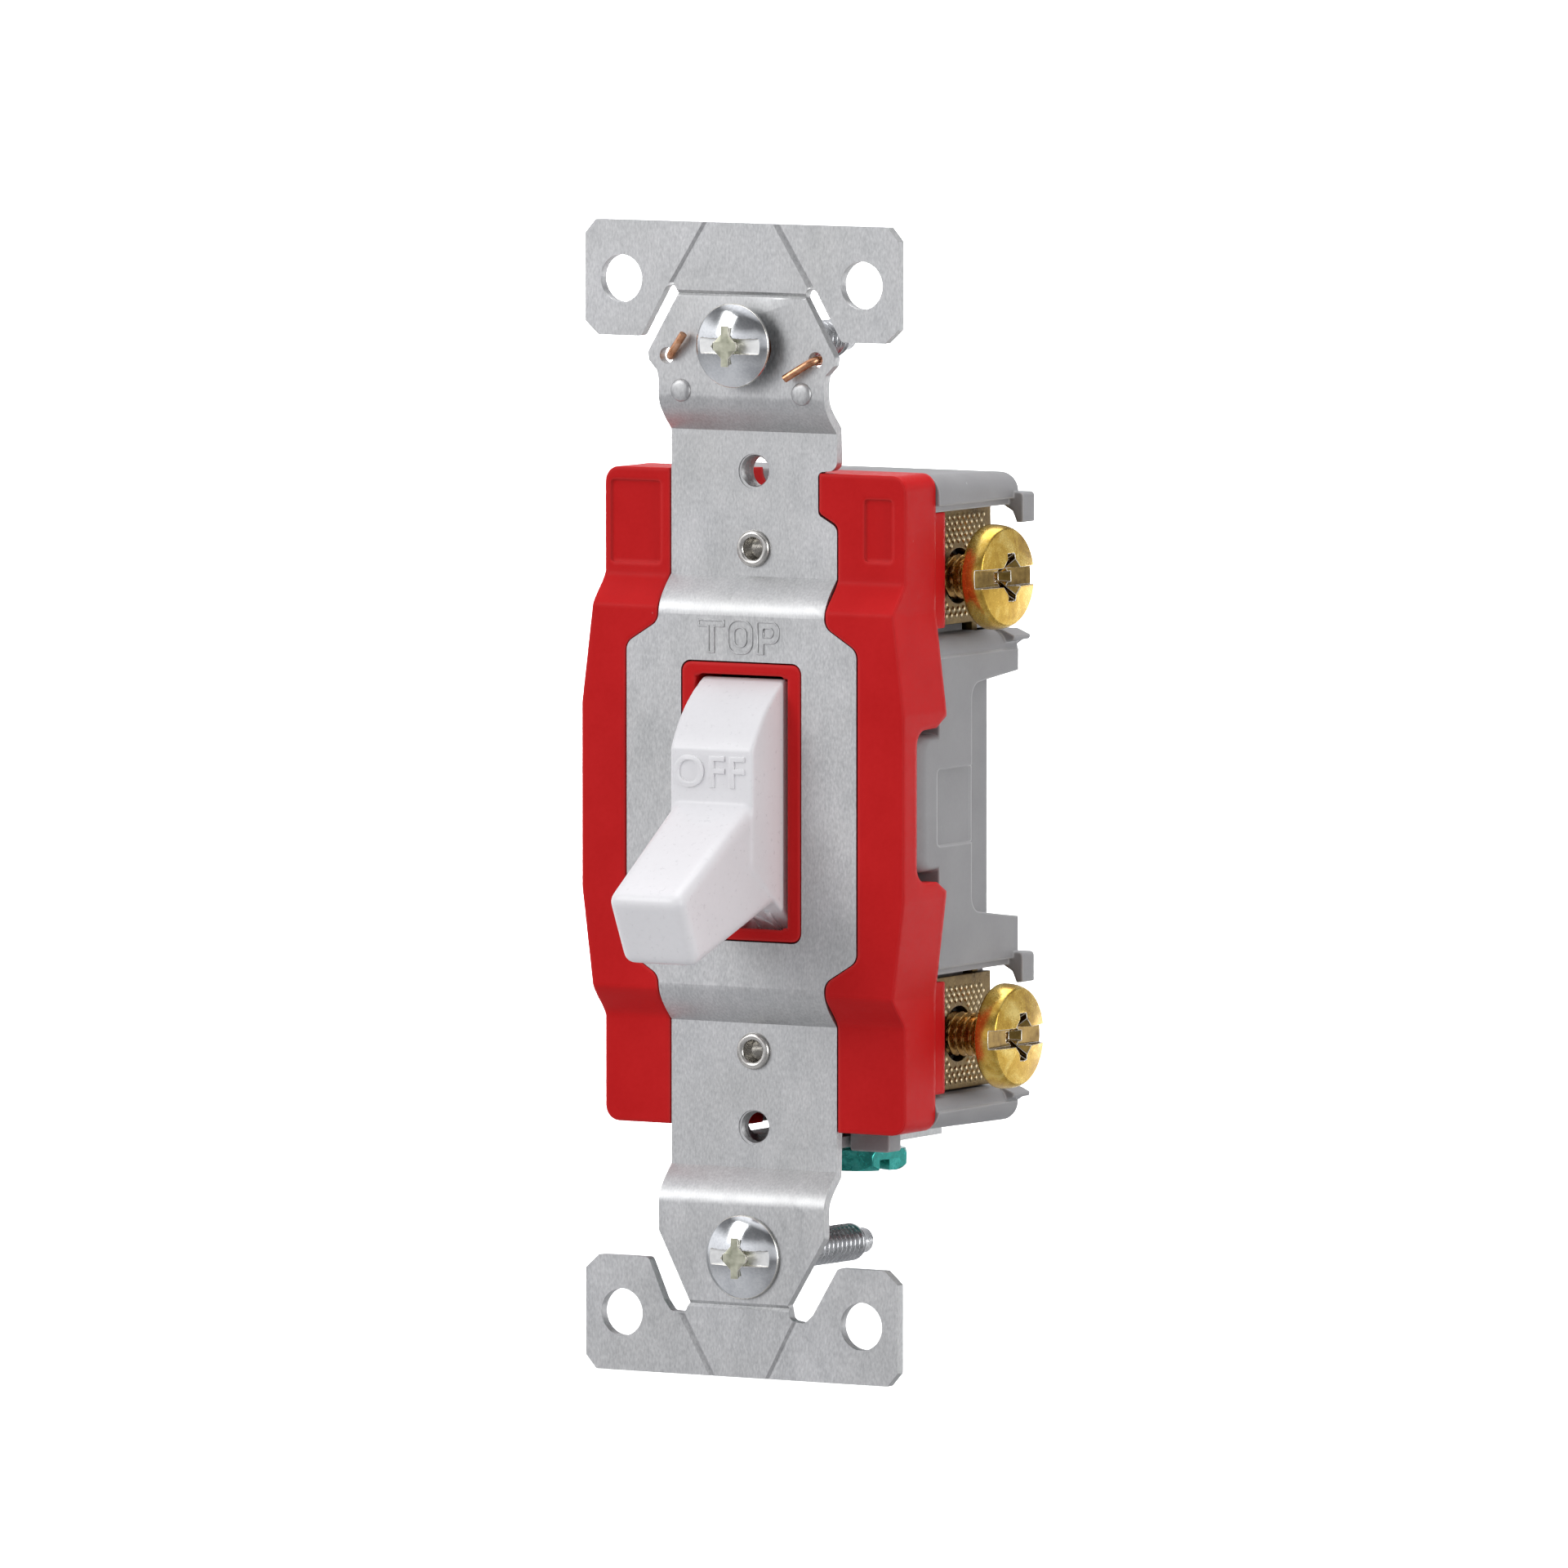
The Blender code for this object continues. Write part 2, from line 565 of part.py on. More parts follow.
# tapered lever
lever_me = bpy.data.meshes.new("lever_body")
bm = bmesh.new()
bmesh.ops.create_cube(bm, size=2.0)
for v in bm.verts:
    out = v.co.y < 0
    y = -LEVER_TIP if out else -6.0
    zz = 3.55 if out else 5.5
    xx = LEVER_W_TIP / 2 if out else BARREL_W / 2 - 0.05
    v.co = Vector((math.copysign(xx, v.co.x), y, math.copysign(zz, v.co.z))) * MM
bmesh.ops.bevel(bm, geom=bm.edges[:], offset=0.9 * MM, segments=2, affect="EDGES")
bm.to_mesh(lever_me)
bm.free()
lever_body = link(bpy.data.objects.new("lever_body", lever_me), cutter=True)
lever_body.parent = pivot
boolean(toggle, lever_body, "UNION")
boss = box("spring_boss", (-3.4, 0.0, -3.6), (3.4, 5.6, 3.6), cutter=True, parent=pivot)
boolean(toggle, boss, "UNION")
trunnion = rod("trunnion", 4.0, (-8.2, 0, 0), (8.2, 0, 0), cutter=True, n=16, parent=pivot)
boolean(toggle, trunnion, "UNION")
bore = rod("spring_bore", 4.4, (0, -3.0, 0), (0, 7.0, 0), cutter=True, n=16, parent=pivot)
boolean(toggle, bore)

# compression spring in the bore and the plunger that it pushes
SPRING_TURNS = 5
coil = []
for k in range(SPRING_TURNS * 10 + 1):
    a = 2 * math.pi * k / 10
    coil.append((1.45 * math.cos(a), -2.4 + 5.6 * k / (SPRING_TURNS * 10), 1.45 * math.sin(a)))
spring = wire("toggle_spring", coil, 0.5, SPRING)
spring.parent = pivot
plunger = turned("spring_plunger",
                 [(0, 5.9), (0.75, 5.75), (1.35, 5.2), (1.75, 4.2), (1.75, 0.05), (0, 0.0)],
                 NYLON, 16, (0, 3.6, 0), (0, 1, 0), parent=pivot)

# ---------------------------------------------------------------- rocker
RIDGE_Y = PIVOT_Y + PLUNGER_TIP + GAP + 0.55      # edge of the fulcrum ridge, in the arm's notch
rocker = bpy.data.objects.new("rocker_pivot", None)
rocker.location = (0, RIDGE_Y * MM, 0)
rocker.rotation_euler = (-math.radians(ARM_TILT), 0, 0)
parts.objects.link(rocker)


def cradle(n=10, off=0.0):
    """Path of the plunger's tip, seen from the rocker, moved back by off."""
    out = []
    for k in range(n + 1):
        th = math.radians(-REST_ANGLE + 2 * REST_ANGLE * k / n)
        ph = math.radians(ARM_TILT) * th / math.radians(REST_ANGLE)
        y = PIVOT_Y + (PLUNGER_TIP + off) * math.cos(th) - RIDGE_Y
        z = (PLUNGER_TIP + off) * math.sin(th)
        c, s = math.cos(ph), math.sin(ph)
        out.append((c * y - s * z, s * y + c * z))
    return out


front = cradle(off=GAP)
rear = cradle(off=GAP + 1.0)
yw = front[0][0]
# the ends step back, so that the rocker balances on the ridge
WING = (-0.1, 0.9)
notch = [(0.45, 0.6), (-0.15, 0.32), (-0.15, -0.32), (0.45, -0.6)]
arm_pts = [(WING[0], -10.2), (WING[0], -5.7), (yw, -4.9)] + front + [(yw, 4.9), (WING[0], 5.7)]
arm_pts += [(WING[0], 9.0), (WING[1], 9.0), (WING[1], 5.3)] + rear[:5:-1] + notch + rear[4::-1]
arm_pts += [(WING[1], -5.3), (WING[1], -10.2)]
arm = prism("contact_arm", [arm_pts], "X", -2.6, 2.6, BRASS)
arm.parent = rocker
contact = turned("moving_contact",
                 [(0, 0.6), (1.6, 0.5), (2.1, 0.3), (2.1, 0.0), (0, 0.0)],
                 SILVER, 16, (0, WING[1] + 0.05, -7.9), (0, 1, 0), parent=rocker)

# ---------------------------------------------------------------- terminal plates
def terminal(name, z0, z1, screw_z, tongue_y, tongue_loop, extra):
    plate = box(name, (TERM_FACE_X - TERM_T, 9.2, z0), (TERM_FACE_X, 20.7, z1), BRASS)
    tongue = prism(name + "_tongue", [tongue_loop], "Y", tongue_y, tongue_y + 1.0, cutter=True)
    boolean(plate, tongue, "UNION")
    if extra:
        boolean(plate, extra, "UNION")
    boolean(plate, rod(name + "_hole", 4.7, (10, TERM_SCREW_Y, screw_z), (16, TERM_SCREW_Y, screw_z),
                       cutter=True, n=16))
    return plate


UP_TONGUE_Y = 18.2
ridge = prism("fulcrum_ridge", [[(RIDGE_Y, -0.12), (RIDGE_Y, 0.12), (UP_TONGUE_Y + 0.5, 1.1),
                                 (UP_TONGUE_Y + 0.5, -1.1)]], "X", -2.6, 2.6, cutter=True)
up_loop = [(13.3, 13.6), (13.3, 17.2), (5.2, 17.2 - 0.6), (5.2, 14.8), (-3.6, 14.8), (-3.6, -1.8),
           (3.6, -1.8), (3.6, 12.4), (9.0, 12.4), (9.4, 13.6)]
plate_up = terminal("terminal_plate_upper", 15.9, 26.7, TERM_UP_Z, UP_TONGUE_Y, up_loop, ridge)
LO_TONGUE_Y = 18.4
lo_loop = [(13.3, -17.9), (13.3, -13.9), (9.4, -13.9), (9.0, -12.6), (3.6, -12.6), (3.6, -5.6),
           (-3.6, -5.6), (-3.6, -15.6), (5.2, -15.6), (5.2, -16.6), (9.2, -16.6), (10.8, -17.9)]
plate_lo = terminal("terminal_plate_lower", -27.0, -16.5, TERM_LO_Z, LO_TONGUE_Y, lo_loop, None)
fixed_contact = turned("stationary_contact",
                       [(0, 0.4), (1.7, 0.35), (2.2, 0.2), (2.2, 0.0), (0, 0.0)],
                       SILVER, 16, (0, LO_TONGUE_Y - 0.05, -7.9), (0, -1, 0))
pad = prism("silencer_pad", [rect(5.0, 3.2, 0.6, 0, 9.0, seg=2)], "Y",
            UP_TONGUE_Y - 0.8, UP_TONGUE_Y - 0.1, RUBBER)

# ---------------------------------------------------------------- screws
def head_profile(r, h, rise):
    """Domed head standing on z = 0, down its outer side from the middle of the top."""
    pts = [(0, h)]
    for k in range(1, 5):
        a = k / 4
        pts.append((r * a, h - rise * a * a))
    return pts


def screw(name, mat, head_d, head_h, rise, shank_d, length, point, location, direction,
          slot_w, cross=True, slot_dir="H"):
    prof = head_profile(head_d / 2, head_h, rise)
    prof += [(head_d / 2, 0.0), (shank_d / 2, 0.0), (shank_d / 2, -length)]
    if point:
        prof += [(point / 2, -length - 0.3), (point / 2, -length - 1.5), (0, -length - 1.5)]
    else:
        prof += [(shank_d / 2 - 0.5, -length - 0.5), (0, -length - 0.5)]
    ob = turned(name, prof, mat, 24, location, direction)
    w = slot_w / 2
    long = head_d
    size = (long, slot_w) if slot_dir == "H" else (slot_w, long)
    s = box(name + "_slot", (-size[0] / 2, -size[1] / 2, head_h - 1.1),
            (size[0] / 2, size[1] / 2, head_h + 1.0), cutter=True, parent=ob)
    boolean(ob, s)
    return ob


# slot cutters are children of their screws, so they follow their placing
mount_top = screw("mounting_screw_top", ZINC, 7.75, 1.5, 1.15, 3.5, 18.9, 2.4,
                  (0, -2.35, BOX_SCREW_Z + 0.2), (0, -1, 0), 1.36)
mount_bot = screw("mounting_screw_bottom", ZINC, 7.75, 1.5, 1.15, 3.5, 20.9, 2.4,
                  (0.25, -1.05, -BOX_SCREW_Z - 0.2), (0, -1, 0), 1.36)
term_up = screw("terminal_screw_upper", BRASS_SCREW, 9.7, 2.6, 1.0, 4.1, 7.4, None,
                (TERM_HEAD_UP_X, TERM_SCREW_Y, TERM_UP_Z), (1, 0, 0), 1.3)
term_lo = screw("terminal_screw_lower", BRASS_SCREW, 9.7, 2.6, 1.0, 4.1, 7.4, None,
                (TERM_HEAD_LO_X, TERM_SCREW_Y, TERM_LO_Z), (1, 0, 0), 1.3)
ground_screw = screw("ground_screw", GREEN, 8.6, 1.9, 0.3, 3.9, 4.6, None,
                     (GROUND_XY[0], GROUND_XY[1], TAB_Z[0] - 0.9), (0, 0, -1), 1.2)

for name, cx, cz in (("top", 0, BOX_SCREW_Z + 0.2), ("bottom", 0.25, -BOX_SCREW_Z - 0.2)):
    prism("screw_retainer_" + name, [rect(8.0, 8.0, 1.0, cx, cz, seg=2), circle(cx, cz, 4.0, 16)],
          "Y", GAP, GAP + 0.8, FIBRE)

# ---------------------------------------------------------------- rivets
def rivet(name, z):
    face = strap_front(RIVET_Z)
    total = 19.9 + GAP - face
    prof = [(0, -3.9), (0.5, -3.3), (0.95, -2.9), (0.95, -0.1), (1.05, 0.25), (1.3, 0.42),
            (1.6, 0.3), (1.7, 0.1), (1.2, 0.1), (1.2, -total), (2.5, -total), (2.5, -total - 0.7),
            (2.0, -total - 1.1), (0, -total - 1.2)]
    return turned(name, prof, ZINC, 20, (0, face, z), (0, -1, 0))


rivet("rivet_upper", RIVET_Z)
rivet("rivet_lower", -RIVET_Z)

# ---------------------------------------------------------------- ground bracket
leg_y = strap_front(RIVET_Z) + STRAP_T + GAP + 0.2
arc = []
for k in range(5):
    a = math.pi / 2 * k / 4
    arc.append((leg_y + 2.0 - 2.0 * math.cos(a), TAB_Z[0] + 2.0 - 2.0 * math.sin(a)))
inner = []
for k in range(5):
    a = math.pi / 2 * (1 - k / 4)
    inner.append((leg_y + 2.0 - 1.0 * math.cos(a), TAB_Z[0] + 2.0 - 1.0 * math.sin(a)))
bracket_loop = [(leg_y, -20.0)] + arc + [(22.6, TAB_Z[0]), (22.6, TAB_Z[1])] + inner + \
    [(leg_y + 1.0, -20.0)]
bracket = prism("ground_bracket", [bracket_loop], "X", -4.0, 7.6, STEEL)
boolean(bracket, box("leg_trim", (4.0, 0.0, -30.9), (8.5, 5.6, -19.0), cutter=True))
boolean(bracket, rod("leg_rivet_hole", 3.1, (0, 0, -RIVET_Z), (0, 6, -RIVET_Z), cutter=True, n=12))
boolean(bracket, rod("leg_screw_hole", 4.2, (0, 0, -PLATE_SCREW_Z + 0.35),
                     (0, 4.8, -PLATE_SCREW_Z + 0.35), cutter=True, n=14))
boolean(bracket, rod("tab_hole", 4.6, (GROUND_XY[0], GROUND_XY[1], -34),
                     (GROUND_XY[0], GROUND_XY[1], -30), cutter=True, n=16))
boolean(bracket, box("tab_trim", (6.7, 0.0, -33.0), (8.5, 9.4, -30.0), cutter=True))

# ---------------------------------------------------------------- grounding clip
clip_pts = [(-6.3, -1.75, 42.7), (-7.2, -1.55, 41.6), (-7.75, -1.3, 40.95), (-7.9, -0.8, 40.7),
            (-7.9, 1.4, 40.7), (-7.5, 1.9, 40.6), (-5.0, 2.0, 40.2), (-2.4, 2.0, 39.5),
            (0.0, 2.0, 39.25), (2.4, 2.0, 39.5), (5.0, 2.0, 40.2), (7.5, 1.9, 40.6),
            (7.9, 1.4, 40.7), (7.9, -0.8, 40.7), (7.7, -1.3, 40.6), (6.9, -1.55, 40.1),
            (4.9, -1.8, 38.9)]
wire("auto_ground_clip", clip_pts, 0.64, COPPER)

for ob in parts.objects:
    if ob.type == "MESH" and ob.name not in ("mounting_strap",):
        if not any(md.type == "SCREW" for md in ob.modifiers):
            smooth(ob, 30)
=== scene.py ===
import json
import math

import bmesh
import bpy
from mathutils import Matrix, Vector, noise

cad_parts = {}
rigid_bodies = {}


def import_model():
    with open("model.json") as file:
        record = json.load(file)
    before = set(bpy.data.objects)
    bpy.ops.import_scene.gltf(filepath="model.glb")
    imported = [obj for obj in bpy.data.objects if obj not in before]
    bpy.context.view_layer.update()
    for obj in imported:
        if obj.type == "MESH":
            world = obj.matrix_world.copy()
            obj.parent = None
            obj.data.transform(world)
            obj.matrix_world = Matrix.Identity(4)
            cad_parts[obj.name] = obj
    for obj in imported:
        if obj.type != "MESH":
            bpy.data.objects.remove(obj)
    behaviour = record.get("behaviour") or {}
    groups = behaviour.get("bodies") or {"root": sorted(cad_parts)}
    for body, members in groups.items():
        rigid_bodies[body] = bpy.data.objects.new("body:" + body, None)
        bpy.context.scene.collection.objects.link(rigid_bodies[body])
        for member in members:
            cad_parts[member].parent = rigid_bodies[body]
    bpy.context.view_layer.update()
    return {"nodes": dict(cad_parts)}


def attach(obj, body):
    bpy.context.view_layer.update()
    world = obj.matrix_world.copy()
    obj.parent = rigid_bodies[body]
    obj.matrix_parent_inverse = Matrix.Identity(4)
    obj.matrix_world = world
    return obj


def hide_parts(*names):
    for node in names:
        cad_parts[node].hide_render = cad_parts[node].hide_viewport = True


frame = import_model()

MM = 0.001
FINE = 2        # mesh fineness

# ------------------------------------------------------------------ dimensions (mm), as in the CAD model
STRAP_T = 1.0
EAR_FRONT = -STRAP_T
STEP = 2.33
BEND_OUT = (37.2, 33.85)
BEND_IN = (20.55, 17.0)
EAR_HALF = 16.6
NECK_HALF = 8.8
MID_HALF = 12.2
EAR_HOLE = (12.75, 47.63, 4.4)
BOX_SCREW_Z = 41.67
PLATE_SCREW_Z = 30.16
RIVET_Z = 23.1
COVER_TOP = 30.2
COVER_HALF_END = 16.05
COVER_HALF_MID = 17.2
COVER_BACK = 6.8
HOUSING_TOP = 30.0
HOUSING_FRONT = COVER_BACK + 0.12
HOUSING_BACK = 21.5
HOUSING_HALF = 16.4
CORE_HALF = 12.5
PIVOT_Y = 5.2
BARREL_R = 12.65
BARREL_W = 8.8
LEVER_TIP = 24.9
LEVER_W_TIP = 7.75
REST_ANGLE = 26.0
TERM_FACE_X = 14.0
TERM_T = 1.2
TERM_SCREW_Y = 14.8
TERM_UP_Z = 20.3
TERM_LO_Z = -21.9
TERM_HEAD_UP_X = 17.1
TERM_HEAD_LO_X = 18.3
GROUND_XY = (2.5, 16.3)
TAB_Z = (-32.1, -31.1)

work = bpy.data.collections.new("construction")
bpy.context.scene.collection.children.link(work)
shown = bpy.data.collections.new("switch_looks")
bpy.context.scene.collection.children.link(shown)


# ------------------------------------------------------------------ materials
class Nodes:
    def __init__(self, name):
        self.mat = bpy.data.materials.new(name)
        self.mat.use_nodes = True
        self.t = self.mat.node_tree
        self.b = self.t.nodes["Principled BSDF"]
        tc = self.t.nodes.new("ShaderNodeTexCoord")
        self.obj = tc.outputs["Object"]

    def node(self, kind, **inputs):
        n = self.t.nodes.new(kind)
        for k, v in inputs.items():
            n.inputs[k.replace("_", " ")].default_value = v
        return n

    def link(self, a, b):
        self.t.links.new(a, b)

    def noise(self, scale, detail=4.0, rough=0.55, stretch=(1, 1, 1), distortion=0.0):
        m = self.t.nodes.new("ShaderNodeMapping")
        m.inputs["Scale"].default_value = stretch
        self.link(self.obj, m.inputs["Vector"])
        n = self.t.nodes.new("ShaderNodeTexNoise")
        n.inputs["Scale"].default_value = scale
        n.inputs["Detail"].default_value = detail
        n.inputs["Roughness"].default_value = rough
        n.inputs["Distortion"].default_value = distortion
        self.link(m.outputs["Vector"], n.inputs["Vector"])
        return n.outputs["Fac"]

    def ramp(self, fac, stops):
        r = self.t.nodes.new("ShaderNodeValToRGB")
        el = r.color_ramp.elements
        while len(el) < len(stops):
            el.new(0.5)
        for e, (p, c) in zip(el, stops):
            e.position = p
            e.color = (*c, 1.0)
        self.link(fac, r.inputs["Fac"])
        return r.outputs["Color"]

    def range(self, fac, lo, hi, a=0.0, b=1.0):
        m = self.t.nodes.new("ShaderNodeMapRange")
        m.inputs["From Min"].default_value = a
        m.inputs["From Max"].default_value = b
        m.inputs["To Min"].default_value = lo
        m.inputs["To Max"].default_value = hi
        self.link(fac, m.inputs["Value"])
        return m.outputs["Result"]

    def mix(self, a, b, fac, mode="MIX"):
        m = self.t.nodes.new("ShaderNodeMix")
        m.data_type = "RGBA"
        m.blend_type = mode
        if isinstance(fac, float):
            m.inputs[0].default_value = fac
        else:
            self.link(fac, m.inputs[0])
        for sock, v in ((m.inputs[6], a), (m.inputs[7], b)):
            if isinstance(v, tuple):
                sock.default_value = (*v, 1.0)
            else:
                self.link(v, sock)
        return m.outputs[2]

    def add(self, a, b, wa=1.0, wb=1.0):
        x = self.t.nodes.new("ShaderNodeMath")
        x.operation = "MULTIPLY_ADD"
        x.inputs[1].default_value = wa
        self.link(a, x.inputs[0])
        y = self.t.nodes.new("ShaderNodeMath")
        y.operation = "MULTIPLY"
        y.inputs[1].default_value = wb
        self.link(b, y.inputs[0])
        self.link(y.outputs[0], x.inputs[2])
        return x.outputs[0]

    def bump(self, height, depth_mm, strength=1.0, edge_mm=0.0):
        b = self.t.nodes.new("ShaderNodeBump")
        if edge_mm:
            e = self.t.nodes.new("ShaderNodeBevel")
            e.samples = 8
            e.inputs["Radius"].default_value = edge_mm * MM
            self.link(e.outputs["Normal"], b.inputs["Normal"])
        b.inputs["Strength"].default_value = strength
        b.inputs["Distance"].default_value = depth_mm * MM
        self.link(height, b.inputs["Height"])
        self.link(b.outputs["Normal"], self.b.inputs["Normal"])

    def edge(self, width_mm, amount=1.0):
        """1 along the edges, where the rounded normal leaves the plain one, 0 on the flats."""
        e = self.t.nodes.new("ShaderNodeBevel")
        e.samples = 8
        e.inputs["Radius"].default_value = width_mm * MM
        g = self.t.nodes.new("ShaderNodeNewGeometry")
        d = self.t.nodes.new("ShaderNodeVectorMath")
        d.operation = "DOT_PRODUCT"
        self.link(e.outputs["Normal"], d.inputs[0])
        self.link(g.outputs["Normal"], d.inputs[1])
        return self.range(d.outputs["Value"], 0.0, amount, 0.995, 0.86)

    def set(self, **values):
        for k, v in values.items():
            self.b.inputs[k.replace("_", " ")].default_value = v


def zinc_sheet():
    m = Nodes("zinc_sheet")
    grain = m.noise(5200, 3, 0.6, (1.0, 1.0, 0.45))
    cloud = m.noise(420, 4, 0.6, (1.0, 1.0, 0.5))
    blotch = m.noise(90, 3, 0.5)
    base = m.ramp(grain, [(0.3, (0.52, 0.522, 0.526)), (0.5, (0.615, 0.617, 0.62)), (0.72, (0.725, 0.727, 0.728))])
    tone = m.ramp(cloud, [(0.3, (0.86, 0.868, 0.868)), (0.7, (1.0, 1.0, 1.0))])
    col = m.mix(base, tone, 1.0, "MULTIPLY")
    tone2 = m.ramp(blotch, [(0.35, (0.93, 0.93, 0.92)), (0.65, (1.0, 1.0, 1.0))])
    col = m.mix(col, tone2, 1.0, "MULTIPLY")
    m.link(col, m.b.inputs["Base Color"])
    m.link(m.range(m.add(grain, cloud, 0.5, 0.5), 0.38, 0.58, 0.3, 0.7), m.b.inputs["Roughness"])
    m.bump(m.add(grain, cloud, 0.4, 0.7), 0.018, 0.55)
    m.set(Metallic=1.0)
    return m.mat


def bright_zinc():
    m = Nodes("bright_zinc")
    grain = m.noise(3800, 3, 0.6)
    cloud = m.noise(500, 3, 0.5)
    col = m.ramp(m.add(grain, cloud, 0.4, 0.6), [(0.3, (0.54, 0.56, 0.58)), (0.6, (0.74, 0.76, 0.77))])
    m.link(col, m.b.inputs["Base Color"])
    m.link(m.range(cloud, 0.07, 0.17, 0.3, 0.7), m.b.inputs["Roughness"])
    m.bump(m.add(grain, cloud, 0.3, 1.0), 0.007, 0.5)
    m.set(Metallic=1.0)
    return m.mat


def chromate_tint():
    m = Nodes("chromate_tint")
    cloud = m.noise(900, 4, 0.6)
    col = m.ramp(cloud, [(0.3, (0.36, 0.37, 0.27)), (0.65, (0.60, 0.60, 0.48))])
    m.link(col, m.b.inputs["Base Color"])
    m.link(m.range(cloud, 0.25, 0.45, 0.3, 0.7), m.b.inputs["Roughness"])
    m.bump(cloud, 0.02, 0.5)
    m.set(Metallic=0.9)
    return m.mat


def red_moulding():
    m = Nodes("red_thermoset")
    fine = m.noise(2600, 4, 0.6)
    cloud = m.noise(160, 3, 0.5)
    specks = m.noise(900, 2, 0.5)
    col = m.ramp(m.add(fine, cloud, 0.3, 0.7), [(0.3, (0.545, 0.010, 0.011)), (0.7, (0.62, 0.015, 0.016))])
    dust = m.ramp(specks, [(0.79, (0, 0, 0)), (0.84, (1, 1, 1))])
    col = m.mix(col, (0.62, 0.10, 0.10), dust)
    # painted highlight: the red is mixed towards a lighter red along the rounded edges
    col = m.mix(col, (0.80, 0.045, 0.045), m.edge(0.55, 0.6))
    m.link(col, m.b.inputs["Base Color"])
    m.link(m.range(fine, 0.34, 0.48, 0.3, 0.7), m.b.inputs["Roughness"])
    m.bump(fine, 0.012, 0.5, 0.6)
    m.set(IOR=1.5, Specular_IOR_Level=0.08)
    return m.mat


def grey_moulding():
    m = Nodes("grey_thermoset")
    fine = m.noise(3000, 4, 0.6)
    cloud = m.noise(200, 3, 0.5)
    specks = m.noise(1100, 2, 0.5)
    col = m.ramp(m.add(fine, cloud, 0.4, 0.6), [(0.3, (0.268, 0.265, 0.268)), (0.7, (0.328, 0.325, 0.328))])
    dust = m.ramp(specks, [(0.77, (0, 0, 0)), (0.83, (1, 1, 1))])
    col = m.mix(col, (0.5, 0.5, 0.5), dust)
    # painted highlight: the grey is mixed towards a lighter grey along the rounded edges
    col = m.mix(col, (0.58, 0.58, 0.58), m.edge(0.36, 0.85))
    m.link(col, m.b.inputs["Base Color"])
    m.link(m.range(fine, 0.42, 0.58, 0.3, 0.7), m.b.inputs["Roughness"])
    m.bump(fine, 0.014, 0.6, 0.38)
    m.set(IOR=1.5, Specular_IOR_Level=0.4)
    return m.mat


def white_moulding():
    m = Nodes("white_toggle")
    fine = m.noise(2200, 3, 0.6)
    cloud = m.noise(140, 3, 0.5)
    col = m.ramp(m.add(fine, cloud, 0.4, 0.6), [(0.3, (0.82, 0.815, 0.825)), (0.7, (0.875, 0.87, 0.88))])
    m.link(col, m.b.inputs["Base Color"])
    m.link(m.range(fine, 0.26, 0.38, 0.3, 0.7), m.b.inputs["Roughness"])
    m.bump(m.add(fine, cloud, 0.5, 0.5), 0.008, 0.4)
    m.set(IOR=1.5, Subsurface_Weight=0.12, Subsurface_Scale=0.0008, Subsurface_Radius=(1.0, 1.0, 1.0))
    return m.mat


def knurled_brass():
    m = Nodes("terminal_brass")
    fine = m.noise(4200, 3, 0.6)
    cloud = m.noise(600, 4, 0.6)
    # dark brown brass, the shaded copy beside the lighter teeth material: painted shade in the valleys of the knurl
    col = m.ramp(m.add(fine, cloud, 0.3, 0.7), [(0.3, (0.075, 0.046, 0.014)), (0.55, (0.155, 0.10, 0.034)), (0.75, (0.26, 0.185, 0.075))])
    m.link(col, m.b.inputs["Base Color"])
    m.link(m.range(cloud, 0.24, 0.42, 0.3, 0.7), m.b.inputs["Roughness"])
    m.bump(fine, 0.01, 0.4)
    m.set(Metallic=1.0)
    return m.mat


def gold_screw():
    m = Nodes("brass_screw")
    fine = m.noise(5200, 3, 0.65)
    cloud = m.noise(400, 4, 0.6, distortion=1.1)
    col = m.ramp(m.add(fine, cloud, 0.25, 0.75), [(0.3, (0.34, 0.17, 0.018)), (0.5, (0.64, 0.41, 0.07)), (0.72, (0.90, 0.70, 0.23))])
    m.link(col, m.b.inputs["Base Color"])
    m.link(m.range(m.add(fine, cloud, 0.5, 0.5), 0.17, 0.33, 0.3, 0.7), m.b.inputs["Roughness"])
    m.bump(m.add(fine, cloud, 0.35, 0.9), 0.02, 0.5)
    m.set(Metallic=0.82)
    return m.mat


def copper_wire():
    m = Nodes("copper_wire")
    cloud = m.noise(1500, 4, 0.6)
    col = m.ramp(cloud, [(0.3, (0.42, 0.17, 0.08)), (0.55, (0.72, 0.38, 0.22)), (0.75, (0.86, 0.55, 0.38))])
    m.link(col, m.b.inputs["Base Color"])
    m.link(m.range(cloud, 0.22, 0.42, 0.3, 0.7), m.b.inputs["Roughness"])
    m.bump(cloud, 0.01, 0.5)
    m.set(Metallic=1.0)
    return m.mat


def green_lacquer():
    m = Nodes("green_screw")
    fine = m.noise(3600, 3, 0.6)
    cloud = m.noise(600, 4, 0.6, distortion=0.8)
    col = m.ramp(m.add(fine, cloud, 0.3, 0.7), [(0.3, (0.008, 0.19, 0.165)), (0.52, (0.02, 0.36, 0.31)), (0.72, (0.09, 0.62, 0.56))])
    m.link(col, m.b.inputs["Base Color"])
    m.link(m.range(cloud, 0.16, 0.34, 0.3, 0.7), m.b.inputs["Roughness"])
    m.bump(m.add(fine, cloud, 0.3, 0.8), 0.02, 0.5)
    m.set(Metallic=0.85, Coat_Weight=0.6, Coat_Roughness=0.12)
    return m.mat


def plain_metal(name, dark, light, r0, r1, scale=2500):
    m = Nodes(name)
    fine = m.noise(scale, 4, 0.6)
    cloud = m.noise(scale / 8, 3, 0.5)
    col = m.ramp(m.add(fine, cloud, 0.5, 0.5), [(0.3, dark), (0.7, light)])
    m.link(col, m.b.inputs["Base Color"])
    m.link(m.range(fine, r0, r1, 0.3, 0.7), m.b.inputs["Roughness"])
    m.bump(fine, 0.01, 0.5)
    m.set(Metallic=1.0)
    return m.mat


